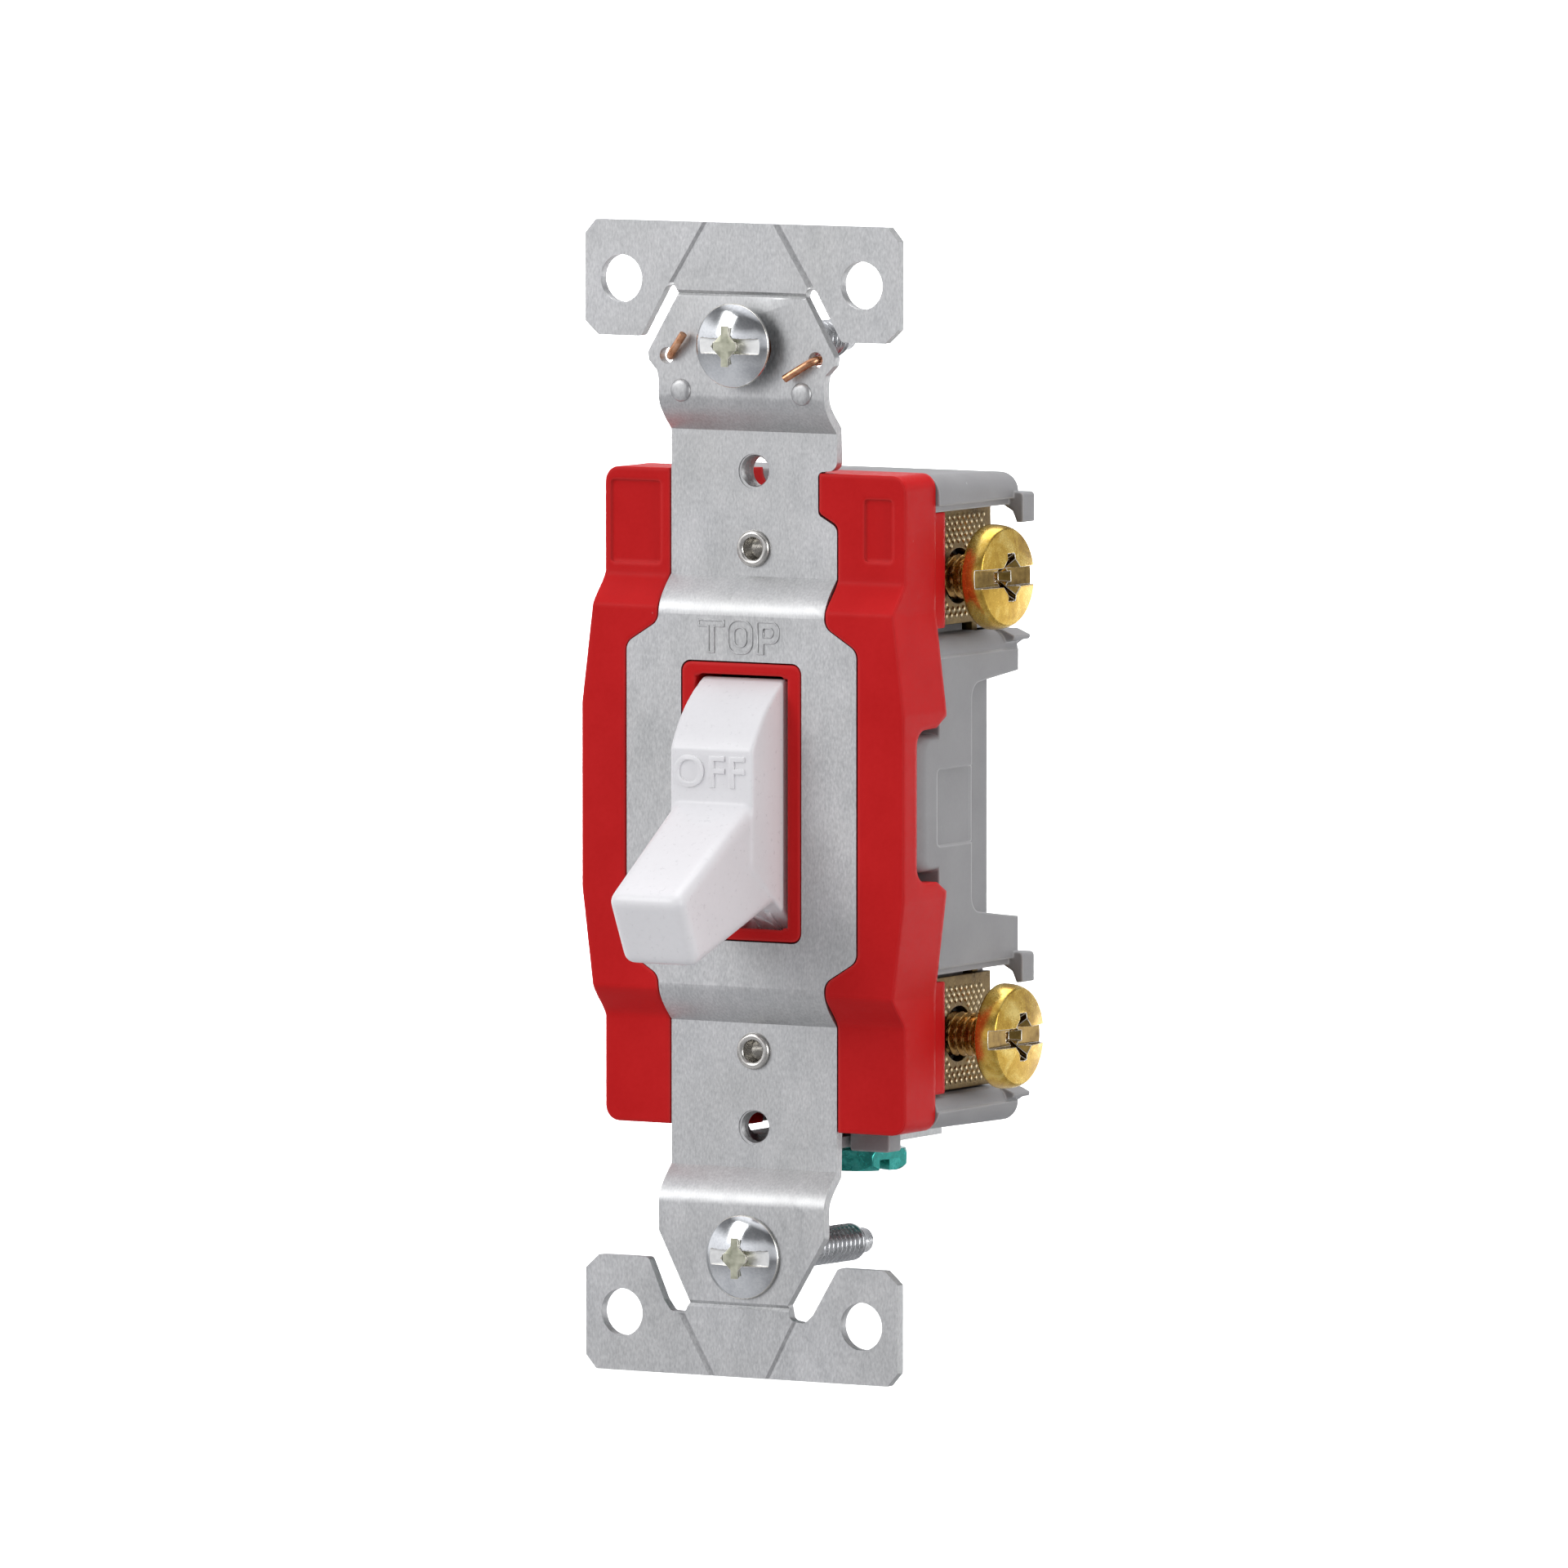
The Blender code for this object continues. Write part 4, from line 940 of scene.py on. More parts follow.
# half-pierced bumps and the threaded collars behind the wall-plate screw holes
for side, sx in (("left", -1), ("right", 1)):
    prof = [(0, 0.30), (0.55, 0.29), (0.85, 0.24), (1.0, 0.14), (1.06, 0.0), (1.06, -0.2), (0, -0.2)]
    ob = lathe("bump", prof, 40, ZINC, (sx * 6.4, EAR_FRONT, 37.55), (0, -1, 0), 60)
    show(ob, "strap_bump_" + side, "switch_frame", "zinc_steel", "mounting_strap")
for where, sz, depth in (("upper", 1, 1.3), ("lower", -1, 0.42)):
    prof = []
    r_out, z0 = 2.0, -(STRAP_T + 0.02)
    inner = []
    steps = int((STRAP_T + depth) / 0.05)
    for k in range(steps + 1):
        h = -0.1 - (STRAP_T + depth - 0.1) * k / steps
        inner.append((1.42, h))
    loop = [(1.66, -0.1)] + [(1.66, -STRAP_T - 0.02), (r_out, -STRAP_T - 0.02), (r_out, -STRAP_T - depth), (1.45, -STRAP_T - depth)]

    def thread_in(r, h, a):
        if r > 1.43:
            return r
        u = (h / 0.794 + a / (2 * math.pi)) % 1.0
        return 1.36 + 0.26 * abs(2 * u - 1)
    # closed ring: outside down, bottom, inside up
    bm = bmesh.new()
    rings = []
    n = 48
    seq = loop[:-1] + inner[::-1]
    for r, h in seq:
        rings.append([bm.verts.new((thread_in(r, h, 2 * math.pi * k / n) * MM * math.cos(2 * math.pi * k / n),
                                    thread_in(r, h, 2 * math.pi * k / n) * MM * math.sin(2 * math.pi * k / n), h * MM))
                      for k in range(n)])
    for i in range(len(rings)):
        a, b = rings[i], rings[(i + 1) % len(rings)]
        for k in range(n):
            bm.faces.new((a[k], b[k], b[(k + 1) % n], a[(k + 1) % n]))
    bmesh.ops.recalc_face_normals(bm, faces=bm.faces)
    bm.transform(aim((0, strap_front(PLATE_SCREW_Z), sz * PLATE_SCREW_Z), (0, -1, 0)))
    me = bpy.data.meshes.new("collar")
    bm.to_mesh(me)
    bm.free()
    ob = place(me, ZINC)
    me.shade_smooth()
    me.set_sharp_from_angle(angle=math.radians(40))
    show(ob, "threaded_collar_" + where, "switch_frame", "zinc_steel", "mounting_strap")

# ------------------------------------------------------------------ front cover
COVER_SIDE = [(COVER_HALF_END, COVER_TOP, 1.4), (COVER_HALF_END, 17.65, 2.0),
              (COVER_HALF_MID, 8.5, 3.0), (COVER_HALF_MID, -8.5, 3.0),
              (COVER_HALF_END, -17.65, 2.0), (COVER_HALF_END, -COVER_TOP, 1.4)]
COVER_LEFT = [(-x + 0.2, z, r) for x, z, r in COVER_SIDE[::-1]]
loop = rounded(COVER_SIDE + COVER_LEFT, 5)
cc = sorted([s * (17.531 + (20.517 - 17.531) * k / 6) for k in range(7) for s in (-1, 1)])
cover = relief("cover", [loop], cc, cover_front, lambda z: COVER_BACK, RED, round_front=0.85)
chan = [p for p in strap_side(1, 0.16) if abs(p[1]) <= 38.3 and abs(p[0]) < 13]
chan = [(chan[0][0], 33.0, 0)] + chan[1:] + [(chan[-1][0], -33.0, 0)]
chan_l = [(-p[0], p[1], p[2]) for p in chan if not (24.8 < p[1] < 31)][::-1]
channel = relief("channel", [rounded(chan + chan_l, 5), rect(12.5, 25.4, 0.9)],
                 [z for z in bend_cuts() if abs(z) < 33.2],
                 lambda z: EAR_FRONT - 2.0, lambda z: strap_back(z) + 0.3, RED)
cutters = [channel, prism("window", [rect(9.3, 23.3, 0.5)], "Y", -3, 9, RED),
           prism("hollow", [rect(28.6, 36.4, 1.5)], "Y", 4.0, 9.0, RED),
           rod("barrel_room", 2 * BARREL_R + 0.7, (-4.95, PIVOT_Y, 0), (4.95, PIVOT_Y, 0), RED, n=96),
           box("trunnion_room", (-8.7, 2.85, -2.5), (8.7, 5.0, 2.5), RED),
           box("leg_room", (-4.3, 2.5, -33.0), (4.3, 4.3, -19.2), RED)]
for sz in (1, -1):
    cutters.append(rod("rivet_room", 3.1, (0, -3, sz * RIVET_Z), (0, 9, sz * RIVET_Z), RED, n=32))
    cutters.append(prism("notch", [rounded([(-2.3, sz * 27.9, 2.2), (2.3, sz * 27.9, 2.2),
                                            (2.3, sz * 32, 0), (-2.3, sz * 32, 0)], 8)], "Y", -3.0, 9.0, RED))
for sx in (1, -1):
    notch = rounded([(1.4, -6.95, 1.5), (5.0, -7.05, 0.8), (7.3, -8.3, 0), (7.3, 8.3, 0),
                     (5.0, 7.05, 0.8), (1.4, 6.95, 1.5)], 8)
    cutters.append(prism("side_notch", [notch], "X", *((14.2, 18.5) if sx > 0 else (-18.5, -14.2)), RED))
# sunken, blank rating panels beside the strap
cutters.append(prism("panel_left", [span(-15.3, -9.9, 21.4, 29.0, 0.35)], "Y", -3.0, EAR_FRONT + STEP + 0.22, RED))
cutters.append(prism("panel_right", [span(11.7, 14.7, 22.3, 28.0, 0.35)], "Y", -3.0, EAR_FRONT + STEP + 0.22, RED))
cut(cover, cutters)
lips = []
for z0, z1 in ((15.9, 26.5), (-26.9, -16.6)):
    lips.append(prism("lip", [span(5.8, 9.3, z0, z1, 0.25)], "X", 14.6, 15.6, RED))
cut(cover, lips, "UNION")
# the bevel faces take a lighter red, a painted highlight along the edges
tidy(cover, bevel=0.18, seg=3, angle=38, smooth=30, edge=RED_EDGE_HIGHLIGHT)
show(cover, "cover_moulding", "switch_frame", "red_thermoset", "front_cover")

# ------------------------------------------------------------------ rear housing
hz = HOUSING_TOP
top_r = 1.8
sec = rounded([(HOUSING_HALF, hz, top_r), (HOUSING_HALF, -hz, top_r),
               (-HOUSING_HALF, -hz, top_r), (-HOUSING_HALF, hz, top_r)], 10)
depths = [HOUSING_FRONT, HOUSING_BACK - 0.2, HOUSING_BACK + 0.02, HOUSING_BACK + 0.16, HOUSING_BACK + 0.2]
backs = [0.0, 0.0, 0.07, 0.22, 0.45]


def house_ring(y, inw):
    out = []
    for x, z in inset(sec, inw) if inw else sec:
        t = (y - HOUSING_FRONT) / (HOUSING_BACK - HOUSING_FRONT)
        z -= 0.45 * t if z > 0 else 0.1 + 0.25 * t
        out.append((x, y, z))
    return out


housing = loft("housing", [house_ring(y, d) for y, d in zip(depths, backs)], GREY)
adds = []
for sx in (1, -1):
    # tab that fills the cover's side notch, flush with the wall, its front edge rounded over
    rings = []
    xs = [14.0] + [HOUSING_HALF - 1.3 + 1.3 * math.sin(math.pi / 2 * k / 8) for k in range(9)]
    ins = [0.0] + [1.7 * (1 - math.cos(math.pi / 2 * k / 8)) for k in range(9)]
    for x, d in zip(xs, ins):
        lp = rounded([(3.0 + d, -6.3 + 0.3 * d, 1.6 - 0.4 * d), (9.5, -6.3 + 0.3 * d, 0), (9.5, 6.3 - 0.3 * d, 0),
                      (3.0 + d, 6.3 - 0.3 * d, 1.6 - 0.4 * d)], 8)
        rings.append([(sx * x, y, z) for y, z in lp])
    adds.append(loft("side_tab", rings, GREY))
cut(housing, adds, "UNION")


def corner_cut(z, rad, up):
    """Waste outside a rounded outer edge that runs along Y at height z."""
    x = HOUSING_HALF
    arc = [(x - 0.22 - rad + rad * math.sin(math.pi / 2 * k / 10), z - up * (rad - rad * math.cos(math.pi / 2 * k / 10)))
           for k in range(11)]
    return prism("corner", [arc + [(x + 2, z - up * rad), (x + 2, z + up * 0.6), (x - 0.22 - rad, z + up * 0.6)]], "Y",
                 HOUSING_FRONT - 1, 24.0, GREY)


cutters = [prism("chamber", [rect(21.0, 34.0, 1.0)], "Y", 5.0, 19.6, GREY)]
for z0, z1 in ((15.1, 26.6), (-27.15, -15.85)):
    cutters.append(box("terminal_recess", (CORE_HALF, 6.0, z0), (19.0, 24.0, z1), GREY))
    # the wall steps in above the terminal
    cutters.append(box("rebate", (15.9, 6.0, z1 - 0.5), (19.0, 24.0, z1 + 0.6), GREY))
cutters.append(corner_cut(15.1, 1.8, 1))
cutters.append(corner_cut(-27.15, 1.3, 1))
for sx in (1, -1):
    back = rounded([(12.85, -10.35, 1.5), (12.85, 10.55, 1.5), (23.0, 11.45, 0), (23.0, -11.6, 0)], 8)
    cutters.append(prism("setback", [back], "X", *((12.9, 18.5) if sx > 0 else (-18.5, -12.9)), GREY))
    panel = rounded([(6.55, -4.0, 0.5), (14.4, -4.0, 0), (14.4, 3.1, 0), (6.55, 3.1, 0.5)], 6)
    cutters.append(prism("panel", [panel], "X", *((16.1, 18.5) if sx > 0 else (-18.5, -16.1)), GREY))
for z in (TERM_UP_Z, TERM_LO_Z):
    cutters.append(rod("pocket", 4.9, (5.0, TERM_SCREW_Y, z), (14.0, TERM_SCREW_Y, z), GREY, n=32))
for sz in (1, -1):
    cutters.append(rod("rivet_hole", 3.1, (0, 5, sz * RIVET_Z), (0, 23, sz * RIVET_Z), GREY, n=32))
    cutters.append(rod("rivet_seat", 6.0, (0, 19.8, sz * RIVET_Z), (0, 23, sz * RIVET_Z), GREY, n=48))
    cutters.append(prism("h_notch", [rounded([(-2.3, sz * 27.9, 2.2), (2.3, sz * 27.9, 2.2),
                                              (2.3, sz * 32, 0), (-2.3, sz * 32, 0)], 8)], "Y", 5.0, 12.0, GREY))
cutters.append(rod("ground_pocket", 5.0, (GROUND_XY[0], GROUND_XY[1], -33), (GROUND_XY[0], GROUND_XY[1], -25.9), GREY, n=32))
cutters.append(box("slot_up", (9.5, 17.75, 13.2), (14.0, 19.6, 17.6), GREY))
cutters.append(box("slot_lo", (9.5, 17.95, -18.3), (14.0, 19.8, -13.5), GREY))
cut(housing, cutters)
adds = []
# wire guides: fins that reach out over each terminal and hook down
for dz in (0.0, -42.45):
    fin = rounded([(12, 27.75 + dz, 0), (17.4, 27.75 + dz, 0.4), (17.4, 25.0 + dz, 0.15), (16.75, 24.95 + dz, 0.15),
                   (16.3, 26.0 + dz, 0.3), (15.3, 26.55 + dz, 0.5), (12, 26.6 + dz, 0)], 6)
    adds.append(prism("guide", [fin], "Y", 20.5, 22.6, GREY))
# ledges with a thin nose at the lower end of each terminal
for dz in (0.0, -42.25):
    ledge = rounded([(12.0, 15.1 + dz, 0), (15.7, 15.1 + dz, 0.5), (17.05, 14.55 + dz, 0.15), (16.95, 14.15 + dz, 0.15),
                     (16.3, 14.05 + dz, 0.5), (15.6, 13.6 + dz, 0.4), (12.0, 13.4 + dz, 0)], 6)
    adds.append(prism("ledge", [ledge], "Y", 19.6, 22.5, GREY))
for sx in (1, -1):
    xs = (4.9, 8.6) if sx > 0 else (-8.6, -4.9)
    post = rounded([(5.0, -3.9, 0), (20.5, -4.6, 0), (20.5, 4.6, 0), (5.0, 3.9, 0)], 1)
    adds.append(prism("post", [post], "X", *xs, GREY))
for sx in (1, -1):
    adds.append(prism("panel_slab", [span(12.0, 13.35, -4.0, 3.1, 0.25)], "X", *((12.5, 16.08) if sx > 0 else (-16.08, -12.5)), GREY))
adds.append(prism("ground_block", [span(7.0, 11.1, -32.4, -29.0, 0.25)], "Y", HOUSING_FRONT, 9.0, GREY))
cut(housing, adds, "UNION")
cutters = []
for sx in (1, -1):
    saddle = [(3.0, -2.35), (3.0, 2.35), (PIVOT_Y, 2.35)]
    saddle += [(PIVOT_Y + 2.35 * math.sin(math.pi * k / 16), 2.35 * math.cos(math.pi * k / 16)) for k in range(1, 16)]
    saddle += [(PIVOT_Y, -2.35)]
    cutters.append(prism("saddle", [saddle], "X", *((4.5, 9.0) if sx > 0 else (-9.0, -4.5)), GREY))
cut(housing, cutters)
# the bevel faces take a lighter grey, a painted highlight along the edges
tidy(housing, bevel=0.2, seg=3, angle=32, smooth=30, edge=GREY_EDGE_HIGHLIGHT)
show(housing, "housing_moulding", "switch_frame", "grey_thermoset", "rear_housing")

# ------------------------------------------------------------------ toggle
TILT = Matrix.Translation((0, PIVOT_Y * MM, 0)) @ Matrix.Rotation(math.radians(REST_ANGLE), 4, "X")


def toggle_outline(n=90):
    facet = 11.55
    half = math.acos(facet / BARREL_R)
    rest = math.radians(REST_ANGLE)
    pts = [-math.pi / 2 + math.pi * k / n for k in range(n + 1)]
    keep = [a for a in pts if not (rest - half < abs(a) < rest + half)]
    keep += [s * (rest + e * half) for s in (-1, 1) for e in (-1, 1)]
    return [(-BARREL_R * math.cos(a), BARREL_R * math.sin(a)) for a in sorted(keep)]


toggle = prism("toggle", [toggle_outline() + [(2.0, BARREL_R - 1.5), (2.0, -BARREL_R + 1.5)]], "X",
               -BARREL_W / 2, BARREL_W / 2, WHITE)
bm = bmesh.new()
bmesh.ops.create_cube(bm, size=2.0)
for v in bm.verts:
    out = v.co.y < 0
    y = -LEVER_TIP if out else -6.0
    zz = 3.6 if out else 5.65
    xx = LEVER_W_TIP / 2 if out else BARREL_W / 2
    v.co = Vector((math.copysign(xx, v.co.x), y, math.copysign(zz, v.co.z))) * MM
bmesh.ops.bevel(bm, geom=[e for e in bm.edges if min(v.co.y for v in e.verts) < -8 * MM], offset=1.05 * MM,
                segments=5, profile=0.5, affect="EDGES")
me = bpy.data.meshes.new("lever")
bm.to_mesh(me)
bm.free()
lever = place(me, WHITE)
parts_ = [lever, box("boss", (-3.4, 0.0, -3.6), (3.4, 5.6, 3.6), WHITE),
          rod("trunnion", 4.0, (-8.2, 0, 0), (8.2, 0, 0), WHITE)]
cut(toggle, parts_, "UNION")
cut(toggle, rod("bore", 4.4, (0, -3.0, 0), (0, 7.0, 0), WHITE))
m = toggle.modifiers.new("skin", "REMESH")
m.mode = "VOXEL"
m.voxel_size = (0.3 if FINE == 1 else 0.17) * MM
m.adaptivity = 0.0
m.use_smooth_shade = True
s = toggle.modifiers.new("soften", "SMOOTH")
s.factor = 0.5
s.iterations = 4 if FINE == 1 else 6
apply_mods(toggle)
toggle.data.transform(TILT)
toggle.data.materials.clear()
toggle.data.materials.append(WHITE)
toggle.data.shade_smooth()
show(toggle, "toggle_moulding", "toggle", "white_toggle", "toggle_lever")

# raised legends on the two flat facets of the barrel
for word, s in (("OFF", 1), ("ON", -1)):
    local = Matrix.Rotation(math.radians(-REST_ANGLE * s), 4, "X") @ Matrix.Translation((-0.2 * MM, -11.6 * MM, 2.95 * MM * s)) @ FACING["Y"]
    # facet normal is the lever's direction turned by the rest angle; up on the letters is +Z
    ob = lettering("legend", word, 4.1, 0.2, WHITE, TILT @ local)
    ob.data.shade_smooth()
    ob.data.set_sharp_from_angle(angle=math.radians(30))
    show(ob, "legend_" + word.lower(), "toggle", "white_toggle", "toggle_lever")

# ------------------------------------------------------------------ screws
PITCH = 0.794


def thread_fn(major, minor, top, bottom):
    def radius(r, h, a):
        if abs(r - major) > 1e-6:
            return r
        u = (h / PITCH + a / (2 * math.pi)) % 1.0
        tri = abs(2 * u - 1)
        tri = min(max((tri - 0.12) / 0.76, 0.0), 1.0)
        fade = min(max((top - h) / (PITCH * 0.8), 0.0), 1.0) * min(max((h - bottom) / (PITCH * 0.8), 0.0), 1.0)
        return major - (major - minor) * (1 - tri) * fade
    return radius


def shank(name, major, minor, length, point, location, direction, mat, n=40):
    per = 8 if FINE == 1 else 12
    prof = [(0, 0.4), (major * 0.98, 0.4)]
    steps = int(length / PITCH * per)
    for k in range(steps + 1):
        prof.append((major, -0.0 - length * k / steps))
    if point:
        prof += [(minor * 0.97, -length - 0.2), (point, -length - 0.3), (point, -length - 2.25),
                 (point - 0.15, -length - 2.4), (0, -length - 2.4)]
    else:
        prof += [(minor - 0.1, -length - 0.45), (0, -length - 0.5)]
    return lathe(name, prof, n, mat, location, direction, 45, thread_fn(major, minor, 0.0, -length))


def combo_head(name, prof, n, mat, tint, location, direction, roll, slot_w, slot_d, top_h, reach,
               cross_w, cross_depth, slot_len, floor_mat, edge, flare=0.86, along=1.0):
    """Head with a straight slot across it and a cross recess, cut and edge-rounded."""
    head = lathe(name, prof, n, mat, sharp=40)
    slot_box = box("slot", (-slot_len, -slot_w / 2, top_h - slot_d), (slot_len, slot_w / 2, top_h + 2), mat)
    cutters = [slot_box]
    for turn in (0, 1):
        bm = bmesh.new()
        bmesh.ops.create_cube(bm, size=2.0)
        for v in bm.verts:
            up = v.co.z > 0
            L = (reach if turn else reach * along) * (1.0 if up else 0.4)
            W = cross_w * (0.5 if up else 0.3)
            z = top_h + 0.15 if up else top_h - cross_depth
            v.co = Vector((math.copysign(L, v.co.x), math.copysign(W, v.co.y), z)) * MM
        if turn:
            bm.transform(Matrix.Rotation(math.pi / 2, 4, "Z"))
        me = bpy.data.meshes.new("wing")
        bm.to_mesh(me)
        bm.free()
        cutters.append(place(me, tint))
    # slot floor and cross recess take their own materials: on the brass heads a dark brass, painted shade; on the zinc
    # heads a lighter zinc slot floor, a painted highlight
    slot_box.data.materials.clear()
    slot_box.data.materials.append(floor_mat)
    # the flared middle of the cross
    bm = bmesh.new()
    bmesh.ops.create_cone(bm, cap_ends=True, segments=4, radius1=0.35 * MM, radius2=reach * flare * MM,
                          depth=(cross_depth + 0.25) * MM)
    bm.transform(Matrix.Translation((0, 0, (top_h + 0.15 - (cross_depth + 0.25) / 2) * MM)))
    me = bpy.data.meshes.new("flare")
    bm.to_mesh(me)
    bm.free()
    cutters.append(place(me, tint))
    cut(head, cutters)
    head.data.transform(aim(location, direction, roll))
    tidy(head, bevel=0.04, seg=2, angle=30, smooth=34, dissolve=False, edge=edge, clamp=False)
    return head


def dome(r, h, rise, n=14, edge=0.25):
    pts = [(0, h)]
    for k in range(1, n):
        t = k / n
        rr = (r - edge * 0.5) * t
        pts.append((rr, h - (rise) * t * t))
    pts += [(r - 0.06, h - rise - 0.10), (r, h - rise - 0.28), (r, 0.14), (r - 0.08, 0.02), (r - 0.2, 0.0), (0, 0.0)]
    return pts


for where, x, y, sz, length, lean in (("top", 0, -2.35, 1, 18.0, 0.6), ("bottom", 0.25, -1.05, -1, 19.4, 0.85)):
    node = "mounting_screw_" + where
    body = where + "_box_screw"
    loc = (x, y, sz * (BOX_SCREW_Z + 0.2))
    # slot floor in a lighter zinc, a painted highlight; bevel faces in pale worn metal with a painted highlight
    head = combo_head("h", dome(3.87, 1.5, 1.12), 110, BRIGHT, TINT, loc, (0, -1, 0),
                      0.0, 1.36, 0.8, 1.5, 1.9, 0.8, 1.6, 6.0, SLOT_FLOOR_HIGHLIGHT, WORN_AND_HIGHLIT_EDGE, 0.8, 0.66)
    show(head, node + "_head", body, "bright_zinc", node)
    tip = math.radians(lean)
    sh = shank("s", 1.75, 1.25, length, 1.2, loc, (0, -math.cos(tip), math.sin(tip)), ZINC_THREAD)
    show(sh, node + "_thread", body, "bright_zinc", node)

for where, x, z in (("upper", TERM_HEAD_UP_X, TERM_UP_Z), ("lower", TERM_HEAD_LO_X, TERM_LO_Z)):
    node = "terminal_screw_" + where
    body = where + "_terminal_screw"
    loc = (x, TERM_SCREW_Y, z)
    # binding head: undercut below, wide rounded rim, flat face
    prof = [(0, 2.6)] + [(4.3 * k / 10, 2.6 - 0.52 * (k / 10) ** 2) for k in range(1, 11)]
    # side of the head: a bulge from the crisp edge of the face down to the rim
    for k in range(1, 13):
        a = k / 12 * math.pi / 2
        prof.append((4.3 + 0.55 * math.sin(a), 2.08 - 1.75 * (1 - math.cos(a))))
    prof += [(4.84, 0.2), (4.78, 0.06), (4.62, 0.0), (4.3, 0.02), (3.2, 0.28), (2.6, 0.4), (0, 0.4)]
    tip = math.radians(3.2 if where == "upper" else 0.5)
    axis = (math.cos(tip) * math.cos(tip * 0.9), -math.sin(tip), math.sin(tip * 0.4))
    # slot and cross recess in a dark brass, painted shade; bevel faces in pale worn metal with a painted highlight
    head = combo_head("h", prof, 120, GOLD, GOLD_RECESS_SHADE, loc, axis, 0.0,
                      1.7, 1.15, 2.6, 2.35, 1.25, 2.2, 6.0, GOLD_RECESS_SHADE, WORN_AND_HIGHLIT_EDGE, 1.05, 0.9)
    show(head, node + "_head", body, "brass_screw", node)
    sh = shank("s", 2.05, 1.55, 7.4, None, loc, axis, GOLD_THREAD)
    show(sh, node + "_thread", body, "brass_screw", node)

# ground screw: six-sided slotted head, head down
loc = (GROUND_XY[0], GROUND_XY[1], TAB_Z[0] - 0.9)
hexa = [(4.55 * math.cos(math.radians(60 * k + 20)), 4.55 * math.sin(math.radians(60 * k + 20))) for k in range(6)]
hexb = prism("hex", [hexa], "Z", 0.0, 1.95, GREEN)
limit = lathe("limit", [(0, 2.2), (3.9, 2.05), (4.45, 1.5), (4.5, 0.5), (4.3, 0.0), (0, -0.01)], 72, GREEN)
cut(hexb, limit, "INTERSECT")
cut(hexb, [box("slot", (-6, -0.6, 0.95), (6, 0.6, 3), GREEN)])
hexb.data.transform(aim(loc, (0, 0, -1), math.radians(25)))
tidy(hexb, bevel=0.12, seg=2, angle=30, smooth=30)
show(hexb, "ground_screw_head", "grounding_screw", "green_screw", "ground_screw")
sh = shank("s", 1.95, 1.5, 4.6, None, loc, (0, 0, -1), GREEN)
show(sh, "ground_screw_thread", "grounding_screw", "green_screw", "ground_screw")

# ------------------------------------------------------------------ terminal plates
RIDGE_Y = PIVOT_Y + 9.5 + 0.3 + 0.55
UP_TONGUE_Y, LO_TONGUE_Y = 18.2, 18.4


def terminal(name, z0, z1, screw_z, tongue_y, tongue_loop, with_ridge):
    # the plate takes the dark brass, painted shade between the knurl teeth
    plate = box(name, (TERM_FACE_X - TERM_T, 9.2, z0), (TERM_FACE_X - 0.12, 20.7, z1), BRASS)
    adds = [prism("tongue", [tongue_loop], "Y", tongue_y, tongue_y + 1.0, BRASS)]
    if with_ridge:
        adds.append(prism("ridge", [[(RIDGE_Y, -0.12), (RIDGE_Y, 0.12), (UP_TONGUE_Y + 0.5, 1.1), (UP_TONGUE_Y + 0.5, -1.1)]],
                          "X", -2.6, 2.6, BRASS))
    cut(plate, adds, "UNION")
    cut(plate, rod("hole", 5.1, (10, TERM_SCREW_Y, screw_z), (16, TERM_SCREW_Y, screw_z), BRASS, n=40))
    tidy(plate, bevel=0.08, seg=2, angle=40, smooth=30)
    return plate


def knurl(name, z0, z1, screw_z):
    """Staggered diamonds pressed up from the plate's face, clear of the screw hole."""
    py, pz = 0.91, 1.06                       # pitch along a row, and over two rows
    y0, y1 = 9.7, 19.3
    bm = bmesh.new()
    rows = int((z1 - z0 - 1.6) / (pz / 2))
    for j in range(rows + 1):
        cz = z0 + 0.8 + j * pz / 2
        for i in range(int((y1 - y0) / py) + 1):
            cy = y0 + i * py + (py / 2 if j % 2 else 0)
            if cy > y1 or math.hypot(cy - TERM_SCREW_Y, cz - screw_z) < 2.95:
                continue
            x0, x1 = TERM_FACE_X - 0.2, TERM_FACE_X + 0.0
            a, b = py * 0.43, pz * 0.43
            tip = 0.38
            base = [bm.verts.new(Vector((x0, cy + u, cz + v)) * MM) for u, v in ((a, 0), (0, b), (-a, 0), (0, -b))]
            top = [bm.verts.new(Vector((x1, cy + u * tip, cz + v * tip)) * MM) for u, v in ((a, 0), (0, b), (-a, 0), (0, -b))]
            bm.faces.new(base[::-1])
            bm.faces.new(top)
            for k in range(4):
                k2 = (k + 1) % 4
                bm.faces.new((base[k], base[k2], top[k2], top[k]))
    bmesh.ops.recalc_face_normals(bm, faces=bm.faces)
    me = bpy.data.meshes.new(name)
    bm.to_mesh(me)
    bm.free()
    # teeth in a lighter brass than the plate: painted highlight on the tips
    return place(me, TEETH_HIGHLIGHT)


up_loop = [(13.3, 13.6), (13.3, 17.2), (5.2, 16.6), (5.2, 14.8), (-3.6, 14.8), (-3.6, -1.8),
           (3.6, -1.8), (3.6, 12.4), (9.0, 12.4), (9.4, 13.6)]
lo_loop = [(13.3, -17.9), (13.3, -13.9), (9.4, -13.9), (9.0, -12.6), (3.6, -12.6), (3.6, -5.6),
           (-3.6, -5.6), (-3.6, -15.6), (5.2, -15.6), (5.2, -16.6), (9.2, -16.6), (10.8, -17.9)]
show(terminal("tu", 15.9, 26.7, TERM_UP_Z, UP_TONGUE_Y, up_loop, True),
     "terminal_body_upper", "switch_frame", "terminal_brass", "terminal_plate_upper")
show(terminal("tl", -27.0, -16.5, TERM_LO_Z, LO_TONGUE_Y, lo_loop, False),
     "terminal_body_lower", "switch_frame", "terminal_brass", "terminal_plate_lower")
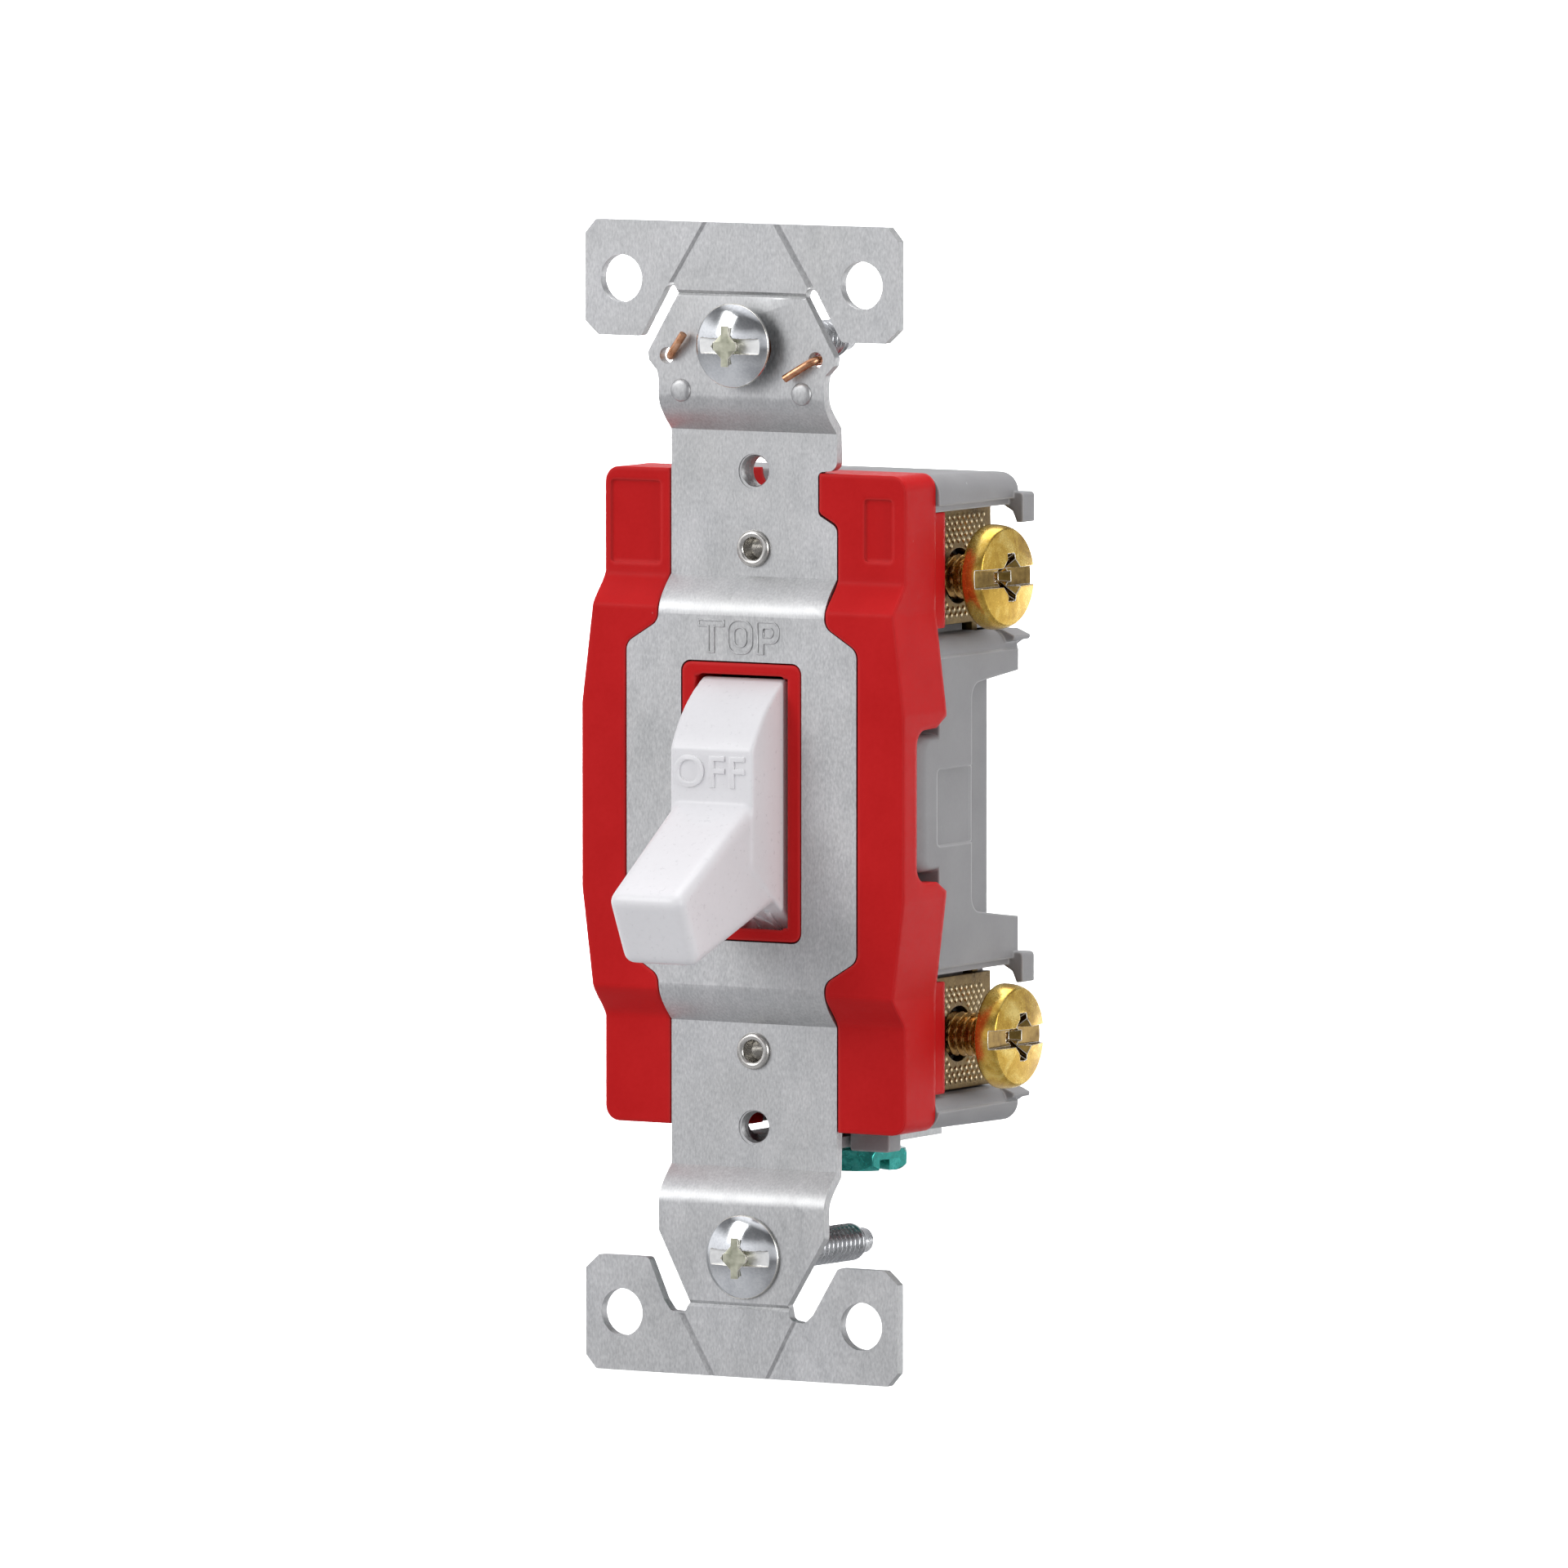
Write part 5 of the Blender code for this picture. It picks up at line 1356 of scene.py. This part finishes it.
show(knurl("ku", 15.9, 26.7, TERM_UP_Z), "terminal_knurl_upper", "switch_frame", "terminal_brass", "terminal_plate_upper")
show(knurl("kl", -27.0, -16.5, TERM_LO_Z), "terminal_knurl_lower", "switch_frame", "terminal_brass", "terminal_plate_lower")

# ------------------------------------------------------------------ rivets
for where, sz in (("upper", 1), ("lower", -1)):
    face = strap_front(RIVET_Z)
    total = 19.9 + 0.3 - face
    prof = [(0, -2.3), (0.25, -2.15), (0.6, -1.7), (0.92, -1.3), (0.97, -1.1), (0.97, -0.25), (0.99, 0.05)]
    for k in range(0, 13):
        a = math.pi * (1 - k / 12)
        prof.append((1.35 + 0.36 * math.cos(a), 0.12 + 0.33 * math.sin(a)))
    prof += [(1.68, 0.06), (1.25, 0.03), (1.2, -0.1), (1.2, -total), (2.45, -total), (2.5, -total - 0.15)]
    for k in range(1, 9):
        a = k / 8 * math.pi / 2
        prof.append((2.5 * math.cos(a), -total - 0.15 - 1.0 * math.sin(a)))
    ob = lathe("rivet", prof, 56, NICKEL, (0, face, sz * RIVET_Z), (0, -1, 0), 50)
    show(ob, "rivet_body_" + where, "switch_frame", "rivet_steel", "rivet_" + where)

# ------------------------------------------------------------------ ground bracket
leg_y = strap_front(RIVET_Z) + STRAP_T + 0.5
arc_o = [(leg_y + 2.0 - 2.0 * math.cos(math.pi / 2 * k / 12), TAB_Z[0] + 2.0 - 2.0 * math.sin(math.pi / 2 * k / 12)) for k in range(13)]
arc_i = [(leg_y + 2.0 - 1.0 * math.cos(math.pi / 2 * (1 - k / 12)), TAB_Z[0] + 2.0 - 1.0 * math.sin(math.pi / 2 * (1 - k / 12))) for k in range(13)]
bl = [(leg_y, -20.0)] + arc_o + [(22.6, TAB_Z[0]), (22.6, TAB_Z[1])] + arc_i + [(leg_y + 1.0, -20.0)]
bracket = prism("bracket", [bl], "X", -4.0, 7.6, ZINC)
cut(bracket, [box("leg_trim", (4.0, 0.0, -30.9), (8.5, 5.6, -19.0), ZINC),
              rod("r", 3.1, (0, 0, -RIVET_Z), (0, 6, -RIVET_Z), ZINC, n=32),
              rod("s", 4.2, (0, 0, -PLATE_SCREW_Z + 0.35), (0, 4.8, -PLATE_SCREW_Z + 0.35), ZINC, n=32),
              rod("t", 4.6, (GROUND_XY[0], GROUND_XY[1], -34), (GROUND_XY[0], GROUND_XY[1], -30), ZINC, n=40),
              box("tab_trim", (6.7, 0.0, -33.0), (8.5, 9.4, -30.0), ZINC)])
tidy(bracket, bevel=0.1, seg=2, angle=50, smooth=30)
show(bracket, "ground_strip", "switch_frame", "zinc_steel", "ground_bracket")

# ------------------------------------------------------------------ grounding clip
clip_pts = [(-5.6, -1.9, 42.75), (-6.2, -1.78, 42.0), (-6.9, -1.6, 41.15), (-7.25, -1.4, 40.75), (-7.5, -0.9, 40.66),
            (-7.65, 0.0, 40.66), (-7.7, 0.9, 40.7), (-7.6, 1.6, 40.65), (-7.0, 1.95, 40.5), (-5.0, 2.0, 40.1),
            (-2.4, 2.0, 39.5), (0.0, 2.0, 39.25), (2.4, 2.0, 39.5), (5.0, 2.0, 40.1), (7.0, 1.95, 40.5),
            (7.7, 1.6, 40.65), (7.9, 0.9, 40.7), (7.95, -0.5, 40.7), (7.85, -1.05, 40.64), (7.45, -1.4, 40.4),
            (6.5, -1.68, 39.8), (5.15, -1.92, 38.95)]
show(wire("clip", clip_pts, 0.74, COPPER), "ground_clip_wire", "switch_frame", "copper_wire", "auto_ground_clip")

# ------------------------------------------------------------------ CAD pieces that stay, with their own finish
for node, mat, slot in (
        ("toggle_spring", SPRING, "spring_steel"), ("spring_plunger", NYLON, "natural_nylon"),
        ("contact_arm", BRASS, "terminal_brass"), ("moving_contact", SILVER, "silver_contact"),
        ("stationary_contact", SILVER, "silver_contact"), ("silencer_pad", RUBBER, "black_elastomer"),
        ("screw_retainer_top", FIBRE, "fibre"), ("screw_retainer_bottom", FIBRE, "fibre")):
    ob = frame["nodes"][node]
    for s in ob.material_slots:
        s.material = mat
    if not ob.material_slots:
        ob.data.materials.append(mat)

# ------------------------------------------------------------------ floor, light and camera
fm = Nodes("floor_paper")
f1 = fm.noise(60, 4, 0.5)
fm.link(fm.ramp(f1, [(0.3, (0.86, 0.86, 0.86)), (0.7, (0.90, 0.90, 0.90))]), fm.b.inputs["Base Color"])
fm.link(fm.range(f1, 0.7, 0.9, 0.3, 0.7), fm.b.inputs["Roughness"])
bm = bmesh.new()
bmesh.ops.create_grid(bm, x_segments=4, y_segments=4, size=15.0)
bm.transform(Matrix.Translation((-4.0, 15.3, -0.16)))
me = bpy.data.meshes.new("floor")
bm.to_mesh(me)
bm.free()
floor = bpy.data.objects.new("floor", me)
me.materials.append(fm.mat)
bpy.context.scene.collection.objects.link(floor)

world = bpy.data.worlds.new("studio")
bpy.context.scene.world = world
world.use_nodes = True
wt = world.node_tree
bg = wt.nodes["Background"]
tc = wt.nodes.new("ShaderNodeTexCoord")


def world_ramp(axis, stops):
    sep = wt.nodes.new("ShaderNodeSeparateXYZ")
    wt.links.new(tc.outputs["Generated"], sep.inputs[0])
    mr = wt.nodes.new("ShaderNodeMapRange")
    mr.inputs["From Min"].default_value = -1
    wt.links.new(sep.outputs[axis], mr.inputs["Value"])
    rm = wt.nodes.new("ShaderNodeValToRGB")
    els = rm.color_ramp.elements
    while len(els) < len(stops):
        els.new(0.5)
    for e, (p, v) in zip(els, stops):
        e.position = p
        e.color = (v, v, v * 1.02, 1)
    wt.links.new(mr.outputs["Result"], rm.inputs["Fac"])
    return rm.outputs["Color"]


height = world_ramp("Z", [(0.0, 0.8), (0.25, 0.85), (0.43, 0.45), (0.5, 1.25), (0.63, 1.45), (0.71, 0.38), (0.82, 0.28), (0.9, 1.5), (1.0, 1.9)])
across = world_ramp("X", [(0.0, 1.1), (0.35, 1.05), (0.55, 0.8), (0.72, 0.6), (0.85, 0.65), (1.0, 1.0)])
mx = wt.nodes.new("ShaderNodeMix")
mx.data_type = "RGBA"
mx.blend_type = "MULTIPLY"
mx.inputs[0].default_value = 1.0
wt.links.new(height, mx.inputs[6])
wt.links.new(across, mx.inputs[7])
wt.links.new(mx.outputs[2], bg.inputs["Color"])
bg.inputs["Strength"].default_value = 0.72


def area(name, loc, target, size, energy, color=(1, 1, 1), spread=180):
    li = bpy.data.lights.new(name, "AREA")
    li.spread = math.radians(spread)
    li.shape = "RECTANGLE"
    li.size, li.size_y = size
    li.energy = energy
    li.color = color
    ob = bpy.data.objects.new(name, li)
    ob.location = loc
    ob.rotation_euler = (Vector(target) - Vector(loc)).to_track_quat("-Z", "Y").to_euler()
    bpy.context.scene.collection.objects.link(ob)
    return ob


area("key_left", (-0.75, -1.0, 0.65), (0, 0, 0), (0.6, 0.7), 6.2)
area("overhead", (0.0, 0.5, 1.2), (0, 0, 0), (1.0, 0.9), 8.8)
area("right_soft", (1.3, -0.25, 0.25), (0, 0, 0), (0.25, 0.9), 5.4)
area("backdrop_wash", (-2.0, 3.6, 2.6), (-1.6, 3.6, -0.16), (5.0, 5.0), 250.0, spread=40)

cam = bpy.data.cameras.new("camera")
co = bpy.data.objects.new("camera", cam)
bpy.context.scene.collection.objects.link(co)
cam.sensor_width = 36.0
cam.lens = 25000.0 / 1920.0 * 36.0
az, el = math.radians(30.5), math.radians(4.52)
back = Vector((math.sin(az) * math.cos(el), -math.cos(az) * math.cos(el), math.sin(el)))
co.location = Vector((4.56, -1.0, 1.81)) * MM + back * 1.8665
co.rotation_mode = "QUATERNION"
co.rotation_quaternion = (-back).to_track_quat("-Z", "Y")
cam.clip_start, cam.clip_end = 0.05, 60.0
bpy.context.scene.camera = co
bpy.context.scene.view_settings.view_transform = "Standard"

for ob in list(work.objects):
    bpy.data.objects.remove(ob, do_unlink=True)
